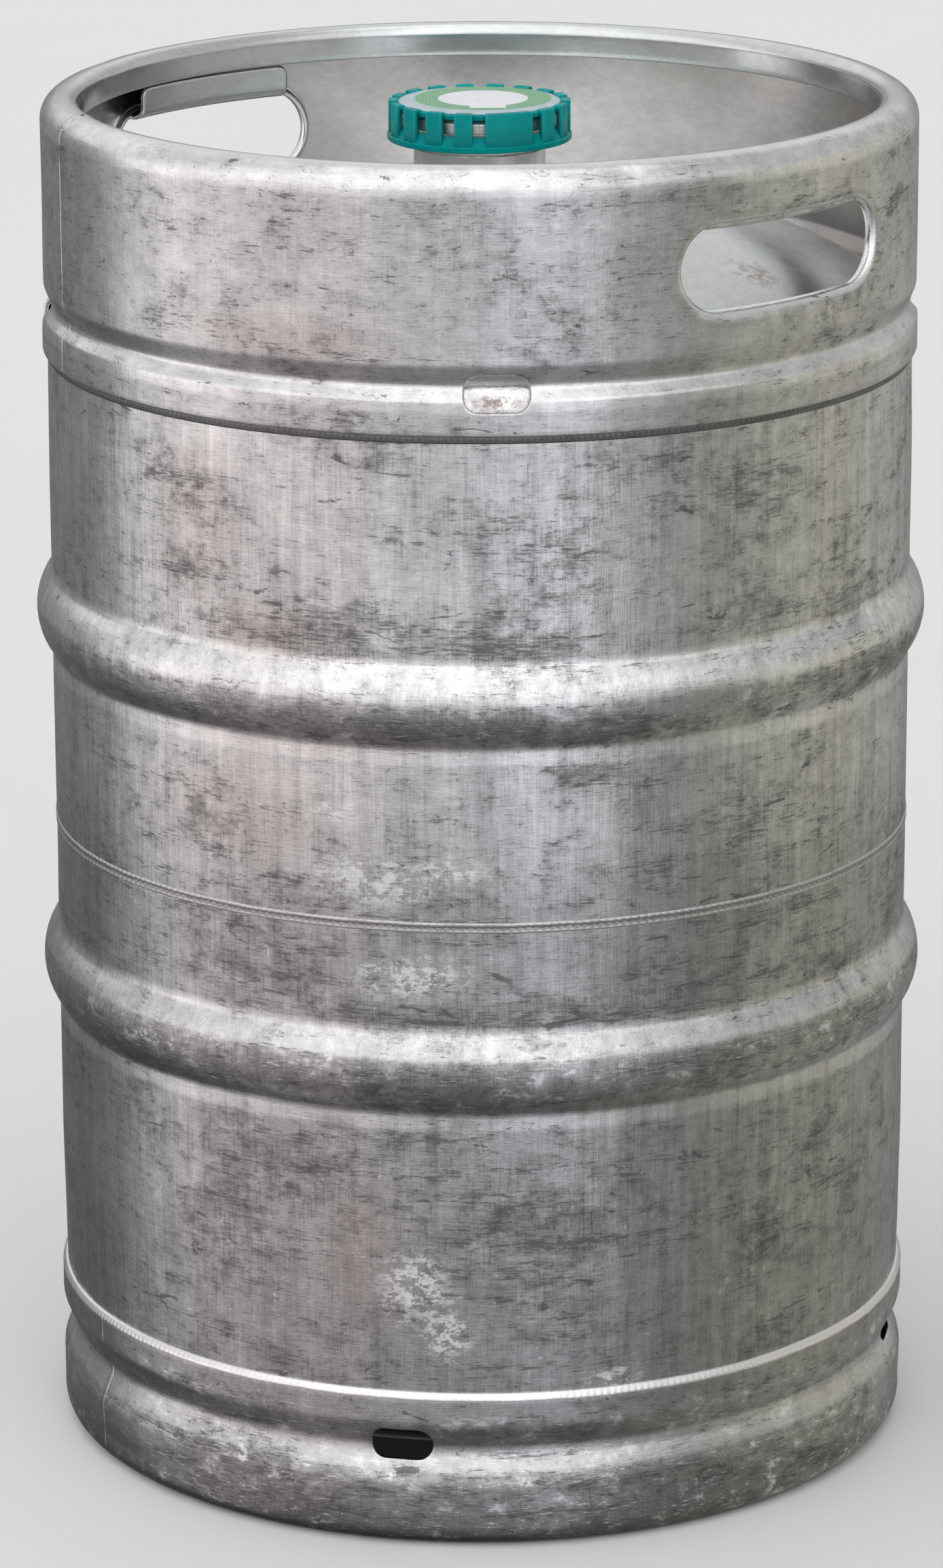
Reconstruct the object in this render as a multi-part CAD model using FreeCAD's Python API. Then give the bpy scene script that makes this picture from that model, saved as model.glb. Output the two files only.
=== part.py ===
import FreeCAD, Part
import math
import os

# A 50 litre stainless beer keg. Millimetres, +Z up, origin on the floor at the
# centre of the foot. The two handholes lie on the X axis.

# --- driving dimensions: vessel -------------------------------------------------
HEIGHT = 592.0             # floor to the top of the rolled rim
BODY_R = 186.4             # outside of the plain wall
HOOP_R = 193.0             # outside of the two rolling hoops
SHELL_T = 1.5              # sheet of the two drawn shells
HOOP_HALF = 17.25          # half the distance between a hoop's root corners
HOOP_ROOT_FILLET = 10.0
HOOP_CREST_FILLET = 25.0
UPPER_HOOP_Z = 369.0
LOWER_HOOP_Z = 211.1
MIDDLE_WELD_TOP = 277.0
MIDDLE_WELD_BOTTOM = 272.8
HEAD_SHOULDER_R = 185.9    # shell radius inside the top chime
HEAD_KNUCKLE_Z = 488.4     # where the head starts to curve in
HEAD_KNUCKLE_R = 24.0
HEAD_CROWN_R = 350.0
BASE_SHOULDER_R = 185.4    # shell radius inside the bottom chime
BASE_KNUCKLE_Z = 68.5
BASE_KNUCKLE_R = 30.0
BASE_CROWN_R = 650.0

# --- driving dimensions: chimes -------------------------------------------------
CHIME_R = 187.5            # outside of the chime walls
CHIME_T = 2.0
BAND_R = 188.2             # welding band at the foot of the top chime
BAND_BOTTOM = 483.6
TOP_GROOVE_R = 183.9
TOP_GROOVE_Z = 502.5
RIM_INNER_R = 171.0        # inner face of the rolled rim
RIM_LIP_Z = 578.5          # lower edge of the rolled rim
RIM_OUTER_FILLET = 10.0
RIM_INNER_FILLET = 5.0
BOTTOM_CHIME_TOP = 66.6
BOTTOM_GROOVE_R = 182.6
FOOT_INNER_R = 170.0
FOOT_LIP_Z = 12.0
TOP_SEAM_ANGLE = -113.5    # vertical weld of the rolled-up top chime, degrees from +X
BOTTOM_SEAM_ANGLE = -106.2
SEAM_WIDTH_ANGLE = 0.6

# --- driving dimensions: handholes and drains -------------------------------------
HANDHOLE_ANGLES = (0.0, 180.0)
HANDHOLE_Z = 546.0
HANDHOLE_HEIGHT = 35.4     # clear height inside the turned-in edge
HANDHOLE_WIDTH = 112.0
HANDHOLE_EDGE_R = 181.3    # how far in the turned edge reaches
HANDHOLE_ROUNDING = 3.6
GRIP_ANGLE = 28.5          # arc of the folded grip over each handhole
GRIP_OUTER_R = 178.6
GRIP_T = 2.0
GRIP_TOP_Z = 576.0
GRIP_BEND = 4.0
TOP_DRAIN_ANGLES = [-41.7 + 90.0 * i for i in range(4)]
TOP_DRAIN_Z = 500.1
TOP_DRAIN_SIZE = (27.0, 15.0, 6.4)      # width, height, corner radius
BOTTOM_DRAIN_ANGLES = [-54.5 + 90.0 * i for i in range(4)]
BOTTOM_DRAIN_Z = 45.4
BOTTOM_DRAIN_SIZE = (26.5, 14.0, 6.5)

# --- driving dimensions: neck and fitting -------------------------------------------
NECK_R = 28.2
NECK_TOP = 566.0
NECK_BOTTOM = 544.0
THREAD_R = 23.5            # thread of neck and fitting, drawn plain
SEAL_R = 25.5
SEAL_T = 2.5
FITTING_TOP = 584.0
FITTING_FLANGE_R = 33.0
FITTING_FLANGE_T = 6.2
COUPLER_GROOVE_R = 27.0
COUPLER_GROOVE_BOTTOM = 569.5
FITTING_BOTTOM = 549.0
MOUTH_R = 15.5
MOUTH_DEPTH = 4.0
CHAMBER_R = 20.5
LOCK_RING_R = (20.9, 24.6)
LOCK_RING_Z = (546.8, 548.6)
CAGE_T = 1.2
CAGE_TOP = 553.0
CAGE_BOTTOM = 526.0
CAGE_HOLE_R = 7.7
GAS_VALVE_R = 18.5
GAS_VALVE_BOSS_R = 14.8
GAS_VALVE_GAP = 0.3        # clearance of the closed valves to their seats
BEER_BORE_R = 7.5
INSERT_SLEEVE_R = (9.5, 11.0)
INSERT_Z = (571.5, 573.0)
CUP_R = 11.0
CUP_T = 1.0
CUP_BOTTOM = 553.0
TUBE_R = 7.0
TUBE_T = 1.0
TUBE_BOTTOM = 32.0
BEER_HEAD_R = 8.8
GAS_SPRING = (15.5, 1.0, 6)      # coil radius, wire radius, turns
BEER_SPRING = (7.6, 0.55, 6)

# --- driving dimensions: security cap ---------------------------------------------
CAP_TOP = 588.0
CAP_BOTTOM = 571.0
CAP_FLANGE_R = 39.5
CAP_FLANGE_T = 2.4
CAP_R = 38.95
CAP_INNER_R = 36.2
CAP_DISC_TOP = 587.0
CAP_DISC_T = 2.5
CAP_DISC_R = 34.7
CAP_PITCH = 20.0           # degrees from one window to the next
CAP_WIDE_BAR_ANGLE = -24.2
CAP_WINDOW_WIDTH = 5.4
CAP_CLAW_R = 33.4
CAP_CLAW_ANGLES = [CAP_WIDE_BAR_ANGLE + 60.0 * i for i in range(6)]
LABEL_R = 34.5
LABEL_T = 0.15

ORIGIN = FreeCAD.Vector(0, 0, 0)
UP = FreeCAD.Vector(0, 0, 1)


# --- outlines -------------------------------------------------------------------
def at(r, z):
    """A point of a half section: radius r, height z."""
    return FreeCAD.Vector(r, 0, z)


def on_circle(centre, radius, degrees):
    """The point of a half section at an angle on a circle."""
    a = math.radians(degrees)
    return (centre[0] + radius * math.cos(a), centre[1] + radius * math.sin(a))


def rounded_path(corners):
    """Edges of an open path through corners (r, z, fillet), with rounded corners."""
    edges = []
    last = at(corners[0][0], corners[0][1])
    for before, here, after in zip(corners, corners[1:], corners[2:]):
        corner = at(here[0], here[1])
        back = (at(before[0], before[1]) - corner).normalize()
        ahead = (at(after[0], after[1]) - corner).normalize()
        turn = math.pi - back.getAngle(ahead)
        reach = here[2] * math.tan(turn / 2.0)
        start = corner + back * reach
        end = corner + ahead * reach
        half = (back + ahead).normalize()
        middle = corner + half * (here[2] / math.cos(turn / 2.0) - here[2])
        edges.append(Part.makeLine(last, start))
        edges.append(Part.Arc(start, middle, end).toShape())
        last = end
    edges.append(Part.makeLine(last, at(corners[-1][0], corners[-1][1])))
    return edges


def offset_corners(corners, distance):
    """The same path moved sideways to its left by a distance."""
    moved = []
    for i, (r, z, fillet) in enumerate(corners):
        point = at(r, z)
        normals = []
        turn = 0.0
        if i > 0:
            way = (point - at(corners[i - 1][0], corners[i - 1][1])).normalize()
            normals.append(at(-way.z, way.x))
        if i < len(corners) - 1:
            way = (at(corners[i + 1][0], corners[i + 1][1]) - point).normalize()
            normals.append(at(-way.z, way.x))
        if len(normals) == 2:
            turn = normals[0].x * normals[1].z - normals[0].z * normals[1].x
            bisector = (normals[0] + normals[1]).normalize()
            shift = bisector * (distance / bisector.dot(normals[0]))
        else:
            shift = normals[0] * distance
        grown = fillet - distance if turn > 0 else fillet + distance
        moved.append((r + shift.x, z + shift.z, grown))
    return moved


def closed_face(edges):
    """The face inside a list of edges."""
    return Part.Face(Part.Wire(Part.__sortEdges__(edges)))


def spun(face, start=0.0, sweep=360.0):
    """A half section turned round the Z axis from one angle through another."""
    placed = face.copy()
    placed.rotate(ORIGIN, UP, start)
    return placed.revolve(ORIGIN, UP, sweep)


def ring(*points):
    """A ring whose half section is a polygon of (r, z) points."""
    loop = [at(r, z) for r, z in points]
    return spun(Part.Face(Part.makePolygon(loop + loop[:1])))


def sheet_section(corners, thickness):
    """The half section of a sheet whose outer face follows the corners."""
    outer = rounded_path(corners)
    inner_corners = offset_corners(corners, thickness)
    inner = rounded_path(inner_corners)
    first = Part.makeLine(at(*corners[0][:2]), at(*inner_corners[0][:2]))
    last = Part.makeLine(at(*corners[-1][:2]), at(*inner_corners[-1][:2]))
    return closed_face(outer + [last] + inner + [first])


def one_solid(shape):
    """The shape as a plain solid with merged faces."""
    return shape.removeSplitter().Solids[0]


def turned(shape, degrees):
    copy = shape.copy()
    copy.rotate(ORIGIN, UP, degrees)
    return copy


def radial_slot(width, height, corner, z, near, far):
    """A rounded slot that runs outward along +X, centred on a height."""
    y = width / 2.0 - corner
    k = corner * math.sqrt(0.5)
    edges = []
    for side in (1, -1):
        for level in (1, -1):
            cy = side * y
            cz = z + level * (height / 2.0 - corner)
            a = FreeCAD.Vector(near, cy + side * corner, cz)
            b = FreeCAD.Vector(near, cy + side * k, cz + level * k)
            c = FreeCAD.Vector(near, cy, cz + level * corner)
            edges.append(Part.Arc(a, b, c).toShape())
    for level in (1, -1):
        cz = z + level * height / 2.0
        edges.append(Part.makeLine(FreeCAD.Vector(near, y, cz), FreeCAD.Vector(near, -y, cz)))
    if height - 2.0 * corner > 0.01:
        low = z - height / 2.0 + corner
        high = z + height / 2.0 - corner
        for side in (1, -1):
            cy = side * width / 2.0
            edges.append(Part.makeLine(FreeCAD.Vector(near, cy, low), FreeCAD.Vector(near, cy, high)))
    return closed_face(edges).extrude(FreeCAD.Vector(far - near, 0, 0))


# --- vessel ---------------------------------------------------------------------
def hoop_corners(z, downward=False):
    """Corners of one rolling hoop, from its lower root to its upper root."""
    slope = 2.0 * math.atan((HOOP_R - BODY_R) / (HOOP_HALF + HOOP_ROOT_FILLET * 0.322))
    peak = HOOP_R + HOOP_CREST_FILLET * (1.0 / math.cos(slope) - 1.0)
    corners = [(BODY_R, z - HOOP_HALF, HOOP_ROOT_FILLET),
               (peak, z, HOOP_CREST_FILLET),
               (BODY_R, z + HOOP_HALF, HOOP_ROOT_FILLET)]
    return corners[::-1] if downward else corners


def dome_edges(shoulder_r, knuckle_z, knuckle_r, crown_r, inset, hole_r, up):
    """Knuckle and crown arcs of a domed end, and the half section's last point."""
    centre_r = shoulder_r - knuckle_r
    drop = math.sqrt((crown_r - knuckle_r) ** 2 - centre_r ** 2)
    crown_centre = (0.0, knuckle_z - up * drop)
    knuckle_centre = (centre_r, knuckle_z)
    lean = math.degrees(math.atan2(drop, centre_r))
    small = knuckle_r - inset
    large = crown_r - inset
    start = at(shoulder_r - inset, knuckle_z)
    bend = at(*on_circle(knuckle_centre, small, up * lean / 2.0))
    join = at(*on_circle(knuckle_centre, small, up * lean))
    tip = 90.0 - math.degrees(math.asin(hole_r / large))
    swell = at(*on_circle(crown_centre, large, up * (lean + tip) / 2.0))
    stop = at(*on_circle(crown_centre, large, up * tip))
    return [Part.Arc(start, bend, join).toShape(), Part.Arc(join, swell, stop).toShape()], stop


def drawn_shell(corners, dome, hole_r, up):
    """A drawn half of the vessel: wall with a hoop, shoulder and domed end (up is 1 or -1)."""
    inner_corners = offset_corners(corners, up * SHELL_T)
    inner_corners[-1] = (dome[0] - SHELL_T, dome[1], 0.0)
    outer = rounded_path(corners)
    inner = rounded_path(inner_corners)
    outer_dome, outer_end = dome_edges(*dome, 0.0, hole_r, up)
    inner_dome, inner_end = dome_edges(*dome, SHELL_T, hole_r, up)
    rim = Part.makeLine(at(*corners[0][:2]), at(*inner_corners[0][:2]))
    tip = Part.makeLine(outer_end, inner_end)
    return spun(closed_face(outer + outer_dome + [tip] + inner + inner_dome + [rim]))


def upper_shell():
    corners = [(BODY_R, MIDDLE_WELD_TOP, 0.0)]
    corners += hoop_corners(UPPER_HOOP_Z)
    corners += [(BODY_R, 478.6, 2.0), (HEAD_SHOULDER_R, 480.6, 2.0)]
    corners += [(HEAD_SHOULDER_R, HEAD_KNUCKLE_Z, 0.0)]
    dome = (HEAD_SHOULDER_R, HEAD_KNUCKLE_Z, HEAD_KNUCKLE_R, HEAD_CROWN_R)
    return drawn_shell(corners, dome, NECK_R, 1)


def lower_shell():
    corners = [(BODY_R, MIDDLE_WELD_BOTTOM, 0.0)]
    corners += hoop_corners(LOWER_HOOP_Z, downward=True)
    corners += [(BODY_R, 73.0, 2.0), (BASE_SHOULDER_R, 70.6, 2.0)]
    corners += [(BASE_SHOULDER_R, BASE_KNUCKLE_Z, 0.0)]
    dome = (BASE_SHOULDER_R, BASE_KNUCKLE_Z, BASE_KNUCKLE_R, BASE_CROWN_R)
    return drawn_shell(corners, dome, 0.0, -1)


def middle_weld():
    """The seam between the two shells, with two low ridges."""
    inner = BODY_R - SHELL_T
    return ring((inner, MIDDLE_WELD_BOTTOM), (BODY_R, MIDDLE_WELD_BOTTOM), (187.0, 273.6),
                (186.9, 274.3), (186.3, 275.2), (186.8, 276.1), (186.9, 276.6),
                (BODY_R, MIDDLE_WELD_TOP), (inner, MIDDLE_WELD_TOP))


# --- chimes ---------------------------------------------------------------------
def top_chime_section():
    corners = [(BAND_R, BAND_BOTTOM, 0.0), (BAND_R, 497.6, 3.2),
               (TOP_GROOVE_R, TOP_GROOVE_Z, 3.0), (CHIME_R, 511.5, 6.0),
               (CHIME_R, HEIGHT, RIM_OUTER_FILLET), (RIM_INNER_R, HEIGHT, RIM_INNER_FILLET),
               (RIM_INNER_R, RIM_LIP_Z, 0.0)]
    return sheet_section(corners, CHIME_T)


def bottom_chime_section():
    corners = [(CHIME_R, BOTTOM_CHIME_TOP, 0.0), (CHIME_R, 55.0, 8.0),
               (BOTTOM_GROOVE_R, 44.5, 7.0), (BOTTOM_GROOVE_R, 41.0, 7.0),
               (CHIME_R, 29.0, 8.0), (CHIME_R, 0.0, RIM_OUTER_FILLET),
               (FOOT_INNER_R, 0.0, RIM_INNER_FILLET), (FOOT_INNER_R, FOOT_LIP_Z, 0.0)]
    return sheet_section(corners, -CHIME_T)


def handhole_edge():
    """The turned-in edge round a handhole, as a sleeve along +X cut to the wall."""
    clear = HANDHOLE_HEIGHT / 2.0
    sleeve = radial_slot(HANDHOLE_WIDTH + 2.0 * CHIME_T, HANDHOLE_HEIGHT + 2.0 * CHIME_T,
                         clear + CHIME_T, HANDHOLE_Z, 150.0, 200.0)
    reach = ring((HANDHOLE_EDGE_R, HANDHOLE_Z - 40.0), (CHIME_R, HANDHOLE_Z - 40.0),
                 (CHIME_R, HANDHOLE_Z + 25.0), (HANDHOLE_EDGE_R, HANDHOLE_Z + 25.0))
    return sleeve.common(reach)


def handhole_opening():
    return radial_slot(HANDHOLE_WIDTH, HANDHOLE_HEIGHT, HANDHOLE_HEIGHT / 2.0, HANDHOLE_Z, 150.0, 200.0)


def folded_grip():
    """The upturned fold over a handhole that a hand lifts by."""
    top_of_hole = HANDHOLE_Z + HANDHOLE_HEIGHT / 2.0
    corners = [(CHIME_R - 1.0, top_of_hole, 0.0), (GRIP_OUTER_R - GRIP_T, top_of_hole, GRIP_BEND),
               (GRIP_OUTER_R - GRIP_T, GRIP_TOP_Z, 0.0)]
    section = sheet_section(corners, -GRIP_T)
    fold = spun(section, -GRIP_ANGLE / 2.0, GRIP_ANGLE)
    width = 2.0 * GRIP_OUTER_R * math.sin(math.radians(GRIP_ANGLE / 2.0))
    outline = radial_slot(width, 30.0, 5.0, GRIP_TOP_Z - 15.0, 150.0, 200.0)
    return fold.common(outline)


def rounded_mouth(chime):
    """The chime with the outer edges of its handholes rounded over."""
    edges = []
    for edge in chime.Edges:
        box = edge.BoundBox
        middle = edge.valueAt((edge.FirstParameter + edge.LastParameter) / 2.0)
        outside = abs(math.hypot(middle.x, middle.y) - CHIME_R) < 0.05
        inside_z = box.ZMin > HANDHOLE_Z - 18.5 and box.ZMax < HANDHOLE_Z + 18.5
        if outside and inside_z and abs(middle.x) > 150.0:
            edges.append(edge)
    return chime.makeFillet(HANDHOLE_ROUNDING, edges)


def top_chime():
    chime = spun(top_chime_section(), TOP_SEAM_ANGLE + SEAM_WIDTH_ANGLE / 2.0, 360.0 - SEAM_WIDTH_ANGLE)
    for angle in HANDHOLE_ANGLES:
        chime = chime.fuse(turned(handhole_edge(), angle))
        chime = chime.cut(turned(handhole_opening(), angle))
        chime = chime.fuse(turned(folded_grip(), angle))
    width, height, corner = TOP_DRAIN_SIZE
    for angle in TOP_DRAIN_ANGLES:
        slot = radial_slot(width, height, corner, TOP_DRAIN_Z, 175.0, 195.0)
        chime = chime.cut(turned(slot, angle))
    return rounded_mouth(one_solid(chime))


def bottom_chime():
    chime = spun(bottom_chime_section(), BOTTOM_SEAM_ANGLE + SEAM_WIDTH_ANGLE / 2.0,
                 360.0 - SEAM_WIDTH_ANGLE)
    width, height, corner = BOTTOM_DRAIN_SIZE
    for angle in BOTTOM_DRAIN_ANGLES:
        slot = radial_slot(width, height, corner, BOTTOM_DRAIN_Z, 175.0, 195.0)
        chime = chime.cut(turned(slot, angle))
    return one_solid(chime)


def chime_seam(section, angle):
    """The vertical weld that closes a chime, filling its gap."""
    return spun(section, angle - SEAM_WIDTH_ANGLE / 2.0, SEAM_WIDTH_ANGLE)


def top_chime_weld(shell, chime, seam):
    bead = ring((184.9, 479.4), (186.3, 479.2), (186.7, 481.6), (187.4, BAND_BOTTOM),
                (186.0, BAND_BOTTOM + 1.0), (184.9, BAND_BOTTOM))
    return one_solid(bead.cut(shell).cut(chime).cut(seam))


def bottom_chime_weld(shell, chime, seam):
    bead = ring((184.9, BOTTOM_CHIME_TOP), (187.4, BOTTOM_CHIME_TOP), (188.1, 67.6), (188.2, 68.6),
                (187.7, 69.9), (186.3, 71.4), (184.9, 71.4))
    return one_solid(bead.cut(shell).cut(chime).cut(seam))


# --- neck and fitting -------------------------------------------------------------
def neck():
    """The welded-in boss that the fitting screws into."""
    return ring((THREAD_R, NECK_BOTTOM), (NECK_R, NECK_BOTTOM), (NECK_R, NECK_TOP), (SEAL_R, NECK_TOP),
                (SEAL_R, NECK_TOP - SEAL_T), (THREAD_R, NECK_TOP - SEAL_T),
                (THREAD_R, LOCK_RING_Z[1]), (LOCK_RING_R[1], LOCK_RING_Z[1]),
                (LOCK_RING_R[1], LOCK_RING_Z[0]), (THREAD_R, LOCK_RING_Z[0]))


def neck_weld(shell):
    bead = ring((NECK_R, 551.0), (32.5, 551.0), (32.5, 553.6), (30.6, 554.6), (NECK_R, 557.4))
    return max(bead.cut(shell).Solids, key=lambda solid: solid.BoundBox.ZMax)


def neck_seal():
    return ring((THREAD_R, NECK_TOP - SEAL_T), (SEAL_R, NECK_TOP - SEAL_T),
                (SEAL_R, NECK_TOP), (THREAD_R, NECK_TOP))


def lock_ring():
    """A split spring ring under the fitting that stops it being unscrewed."""
    inner, outer = LOCK_RING_R
    low, high = LOCK_RING_Z
    whole = ring((inner, low), (outer, low), (outer, high), (inner, high))
    gap = Part.makeBox(12.0, 8.0, 4.0, FreeCAD.Vector(18.0, -4.0, low - 1.0))
    return whole.cut(gap)


def spear_body():
    """The fitting: coupler flange, groove, shoulder and threaded barrel."""
    flange_low = FITTING_TOP - FITTING_FLANGE_T
    lip = FITTING_TOP - MOUTH_DEPTH
    edge = 0.8
    return ring((CHAMBER_R, FITTING_BOTTOM), (THREAD_R, FITTING_BOTTOM), (THREAD_R, NECK_TOP),
                (NECK_R, NECK_TOP), (NECK_R, COUPLER_GROOVE_BOTTOM),
                (COUPLER_GROOVE_R, COUPLER_GROOVE_BOTTOM), (COUPLER_GROOVE_R, flange_low),
                (FITTING_FLANGE_R - edge, flange_low), (FITTING_FLANGE_R, flange_low + edge),
                (FITTING_FLANGE_R, FITTING_TOP - edge), (FITTING_FLANGE_R - edge, FITTING_TOP),
                (MOUTH_R + edge, FITTING_TOP), (MOUTH_R, FITTING_TOP - edge), (MOUTH_R, lip),
                (CHAMBER_R, lip))


def spring_cage():
    """The cup under the fitting that the gas spring stands in, with gas ports."""
    inner = CHAMBER_R - CAGE_T
    cup = ring((CAGE_HOLE_R, CAGE_BOTTOM), (CHAMBER_R - 1.0, CAGE_BOTTOM), (CHAMBER_R, CAGE_BOTTOM + 1.0),
               (CHAMBER_R, CAGE_TOP), (inner, CAGE_TOP), (inner, CAGE_BOTTOM + CAGE_T),
               (CAGE_HOLE_R, CAGE_BOTTOM + CAGE_T))
    for i in range(4):
        port = radial_slot(12.0, 10.0, 3.0, 536.0, 15.0, 25.0)
        cup = cup.cut(turned(port, 45.0 + 90.0 * i))
    return cup


def coil_spring(coil, low, high):
    """A coil of round wire between two heights, made of tilted half turns that meet smoothly."""
    radius, wire, turns = coil
    rise = (high - low - 2.0 * wire) / (2.0 * turns)
    halves = []
    for i in range(2 * turns):
        side = 1.0 if i % 2 == 0 else -1.0
        start = FreeCAD.Vector(side * radius, 0, low + wire + rise * i)
        centre = FreeCAD.Vector(0, 0, start.z + rise / 2.0)
        axis = (start - centre).cross(FreeCAD.Vector(0, side, 0))
        circle = Part.makeCircle(wire, start, FreeCAD.Vector(0, 1, 0))
        halves.append(Part.Face(Part.Wire(circle)).revolve(centre, axis, 180.0))
    return one_solid(halves[0].multiFuse(halves[1:]))


def gas_spring():
    return coil_spring(GAS_SPRING, CAGE_BOTTOM + CAGE_T, INSERT_Z[0])


def gas_valve():
    """The rubber ring that closes the fitting from below."""
    seat = FITTING_TOP - MOUTH_DEPTH - GAS_VALVE_GAP
    top = FITTING_TOP - 0.6
    return ring((INSERT_SLEEVE_R[1], INSERT_Z[1]), (GAS_VALVE_R, INSERT_Z[1]), (GAS_VALVE_R, seat),
                (GAS_VALVE_BOSS_R, seat), (GAS_VALVE_BOSS_R, top), (BEER_BORE_R, top),
                (BEER_BORE_R, 578.0), (INSERT_SLEEVE_R[1], 578.0))


def valve_insert():
    """The steel carrier under the rubber, with a sleeve for the beer valve."""
    inner, outer = INSERT_SLEEVE_R
    return ring((inner, INSERT_Z[0]), (GAS_VALVE_R - 0.5, INSERT_Z[0]), (GAS_VALVE_R - 0.5, INSERT_Z[1]),
                (outer, INSERT_Z[1]), (outer, 578.0), (inner, 578.0))


def down_tube():
    """The dip tube, flared into a cup at the top that holds the beer spring."""
    bore = TUBE_R - TUBE_T
    return ring((bore, TUBE_BOTTOM), (TUBE_R, TUBE_BOTTOM), (TUBE_R, CUP_BOTTOM - 2.0),
                (CUP_R, CUP_BOTTOM + 1.0), (CUP_R, INSERT_Z[0]), (CUP_R - CUP_T, INSERT_Z[0]),
                (CUP_R - CUP_T, CUP_BOTTOM + 1.5), (bore, CUP_BOTTOM + 1.5))


def beer_valve():
    """The steel mushroom that closes the beer way, with a stem through its spring."""
    top = 578.0 - GAS_VALVE_GAP
    return ring((0.0, 562.0), (4.0, 562.0), (4.6, 563.0), (4.6, 574.0), (BEER_HEAD_R, 574.0),
                (BEER_HEAD_R, 576.6), (BEER_HEAD_R - 1.1, top), (6.4, top), (5.6, 582.4),
                (4.8, 583.0), (0.0, 583.0))


def beer_spring():
    return coil_spring(BEER_SPRING, CUP_BOTTOM + 1.5, 574.0)


# --- security cap -------------------------------------------------------------------
def cap_window():
    """The cutter for one side window, with a ramp at its foot."""
    r_in = CAP_INNER_R - 0.4
    r_lintel = CAP_INNER_R + 0.3
    r_out = CAP_FLANGE_R + 1.0
    points = [(r_in, 578.4), (r_out, 572.4), (r_out, CAP_TOP + 1.0), (r_lintel, CAP_TOP + 1.0),
              (r_lintel, CAP_DISC_TOP - CAP_DISC_T), (r_in, CAP_DISC_TOP - CAP_DISC_T)]
    loop = [FreeCAD.Vector(r, -CAP_WINDOW_WIDTH / 2.0, z) for r, z in points]
    face = Part.Face(Part.makePolygon(loop + loop[:1]))
    window = face.extrude(FreeCAD.Vector(0, CAP_WINDOW_WIDTH, 0))
    keep_flange = Part.makeBox(20.0, 20.0, 20.0, FreeCAD.Vector(30.0, -10.0, CAP_BOTTOM + CAP_FLANGE_T))
    return window.common(keep_flange)


def security_cap():
    """The push-fit cap: disc, ring of bars with windows, foot flange and claws."""
    low = CAP_BOTTOM + CAP_FLANGE_T
    edge = 0.9
    cap = ring((CAP_INNER_R, CAP_BOTTOM), (CAP_FLANGE_R, CAP_BOTTOM), (CAP_FLANGE_R, low), (CAP_R, low),
               (CAP_R, CAP_TOP - edge), (CAP_R - edge, CAP_TOP), (CAP_DISC_R + 0.5, CAP_TOP),
               (CAP_DISC_R, CAP_DISC_TOP), (0.0, CAP_DISC_TOP), (0.0, CAP_DISC_TOP - CAP_DISC_T),
               (CAP_INNER_R, CAP_DISC_TOP - CAP_DISC_T))
    for i in range(1, 18):
        cap = cap.cut(turned(cap_window(), CAP_WIDE_BAR_ANGLE + CAP_PITCH * i))
    claws = ring((CAP_CLAW_R, 573.5), (CAP_CLAW_R + 1.5, 572.0), (CAP_INNER_R + 1.0, 572.0),
                 (CAP_INNER_R + 1.0, 576.8), (CAP_CLAW_R, 576.8))
    for angle in CAP_CLAW_ANGLES:
        block = Part.makeBox(10.0, 7.0, 12.0, FreeCAD.Vector(30.0, -3.5, 568.0))
        cap = cap.fuse(claws.common(turned(block, angle + CAP_PITCH / 2.0)))
    return one_solid(cap)


def cap_label():
    """A thin round film stuck on the cap."""
    return Part.makeCylinder(LABEL_R, LABEL_T, FreeCAD.Vector(0, 0, CAP_DISC_TOP))


# --- the whole keg --------------------------------------------------------------------
def build():
    """Every node's shape by name."""
    nodes = {
        "upper_shell": upper_shell(),
        "lower_shell": lower_shell(),
        "middle_weld": middle_weld(),
        "top_chime": top_chime(),
        "bottom_chime": bottom_chime(),
        "top_chime_seam": chime_seam(top_chime_section(), TOP_SEAM_ANGLE),
        "bottom_chime_seam": chime_seam(bottom_chime_section(), BOTTOM_SEAM_ANGLE),
        "neck": neck(),
        "neck_seal": neck_seal(),
        "lock_ring": lock_ring(),
        "spear_body": spear_body(),
        "spring_cage": spring_cage(),
        "gas_spring": gas_spring(),
        "gas_valve": gas_valve(),
        "valve_insert": valve_insert(),
        "down_tube": down_tube(),
        "beer_valve": beer_valve(),
        "beer_spring": beer_spring(),
        "security_cap": security_cap(),
        "cap_label": cap_label(),
    }
    nodes["top_chime_weld"] = top_chime_weld(nodes["upper_shell"], nodes["top_chime"],
                                             nodes["top_chime_seam"])
    nodes["bottom_chime_weld"] = bottom_chime_weld(nodes["lower_shell"], nodes["bottom_chime"],
                                                   nodes["bottom_chime_seam"])
    nodes["neck_weld"] = neck_weld(nodes["upper_shell"])
    return nodes


def main():
    os.makedirs("parts", exist_ok=True)
    for name, shape in build().items():
        box = shape.BoundBox
        print("%-18s solids %d valid %s volume %10.1f  z %7.2f to %7.2f  r %.2f" % (
            name, len(shape.Solids), shape.isValid(), shape.Volume, box.ZMin, box.ZMax, box.XMax))
        shape.exportStep("parts/" + name + ".step")


main()
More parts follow.
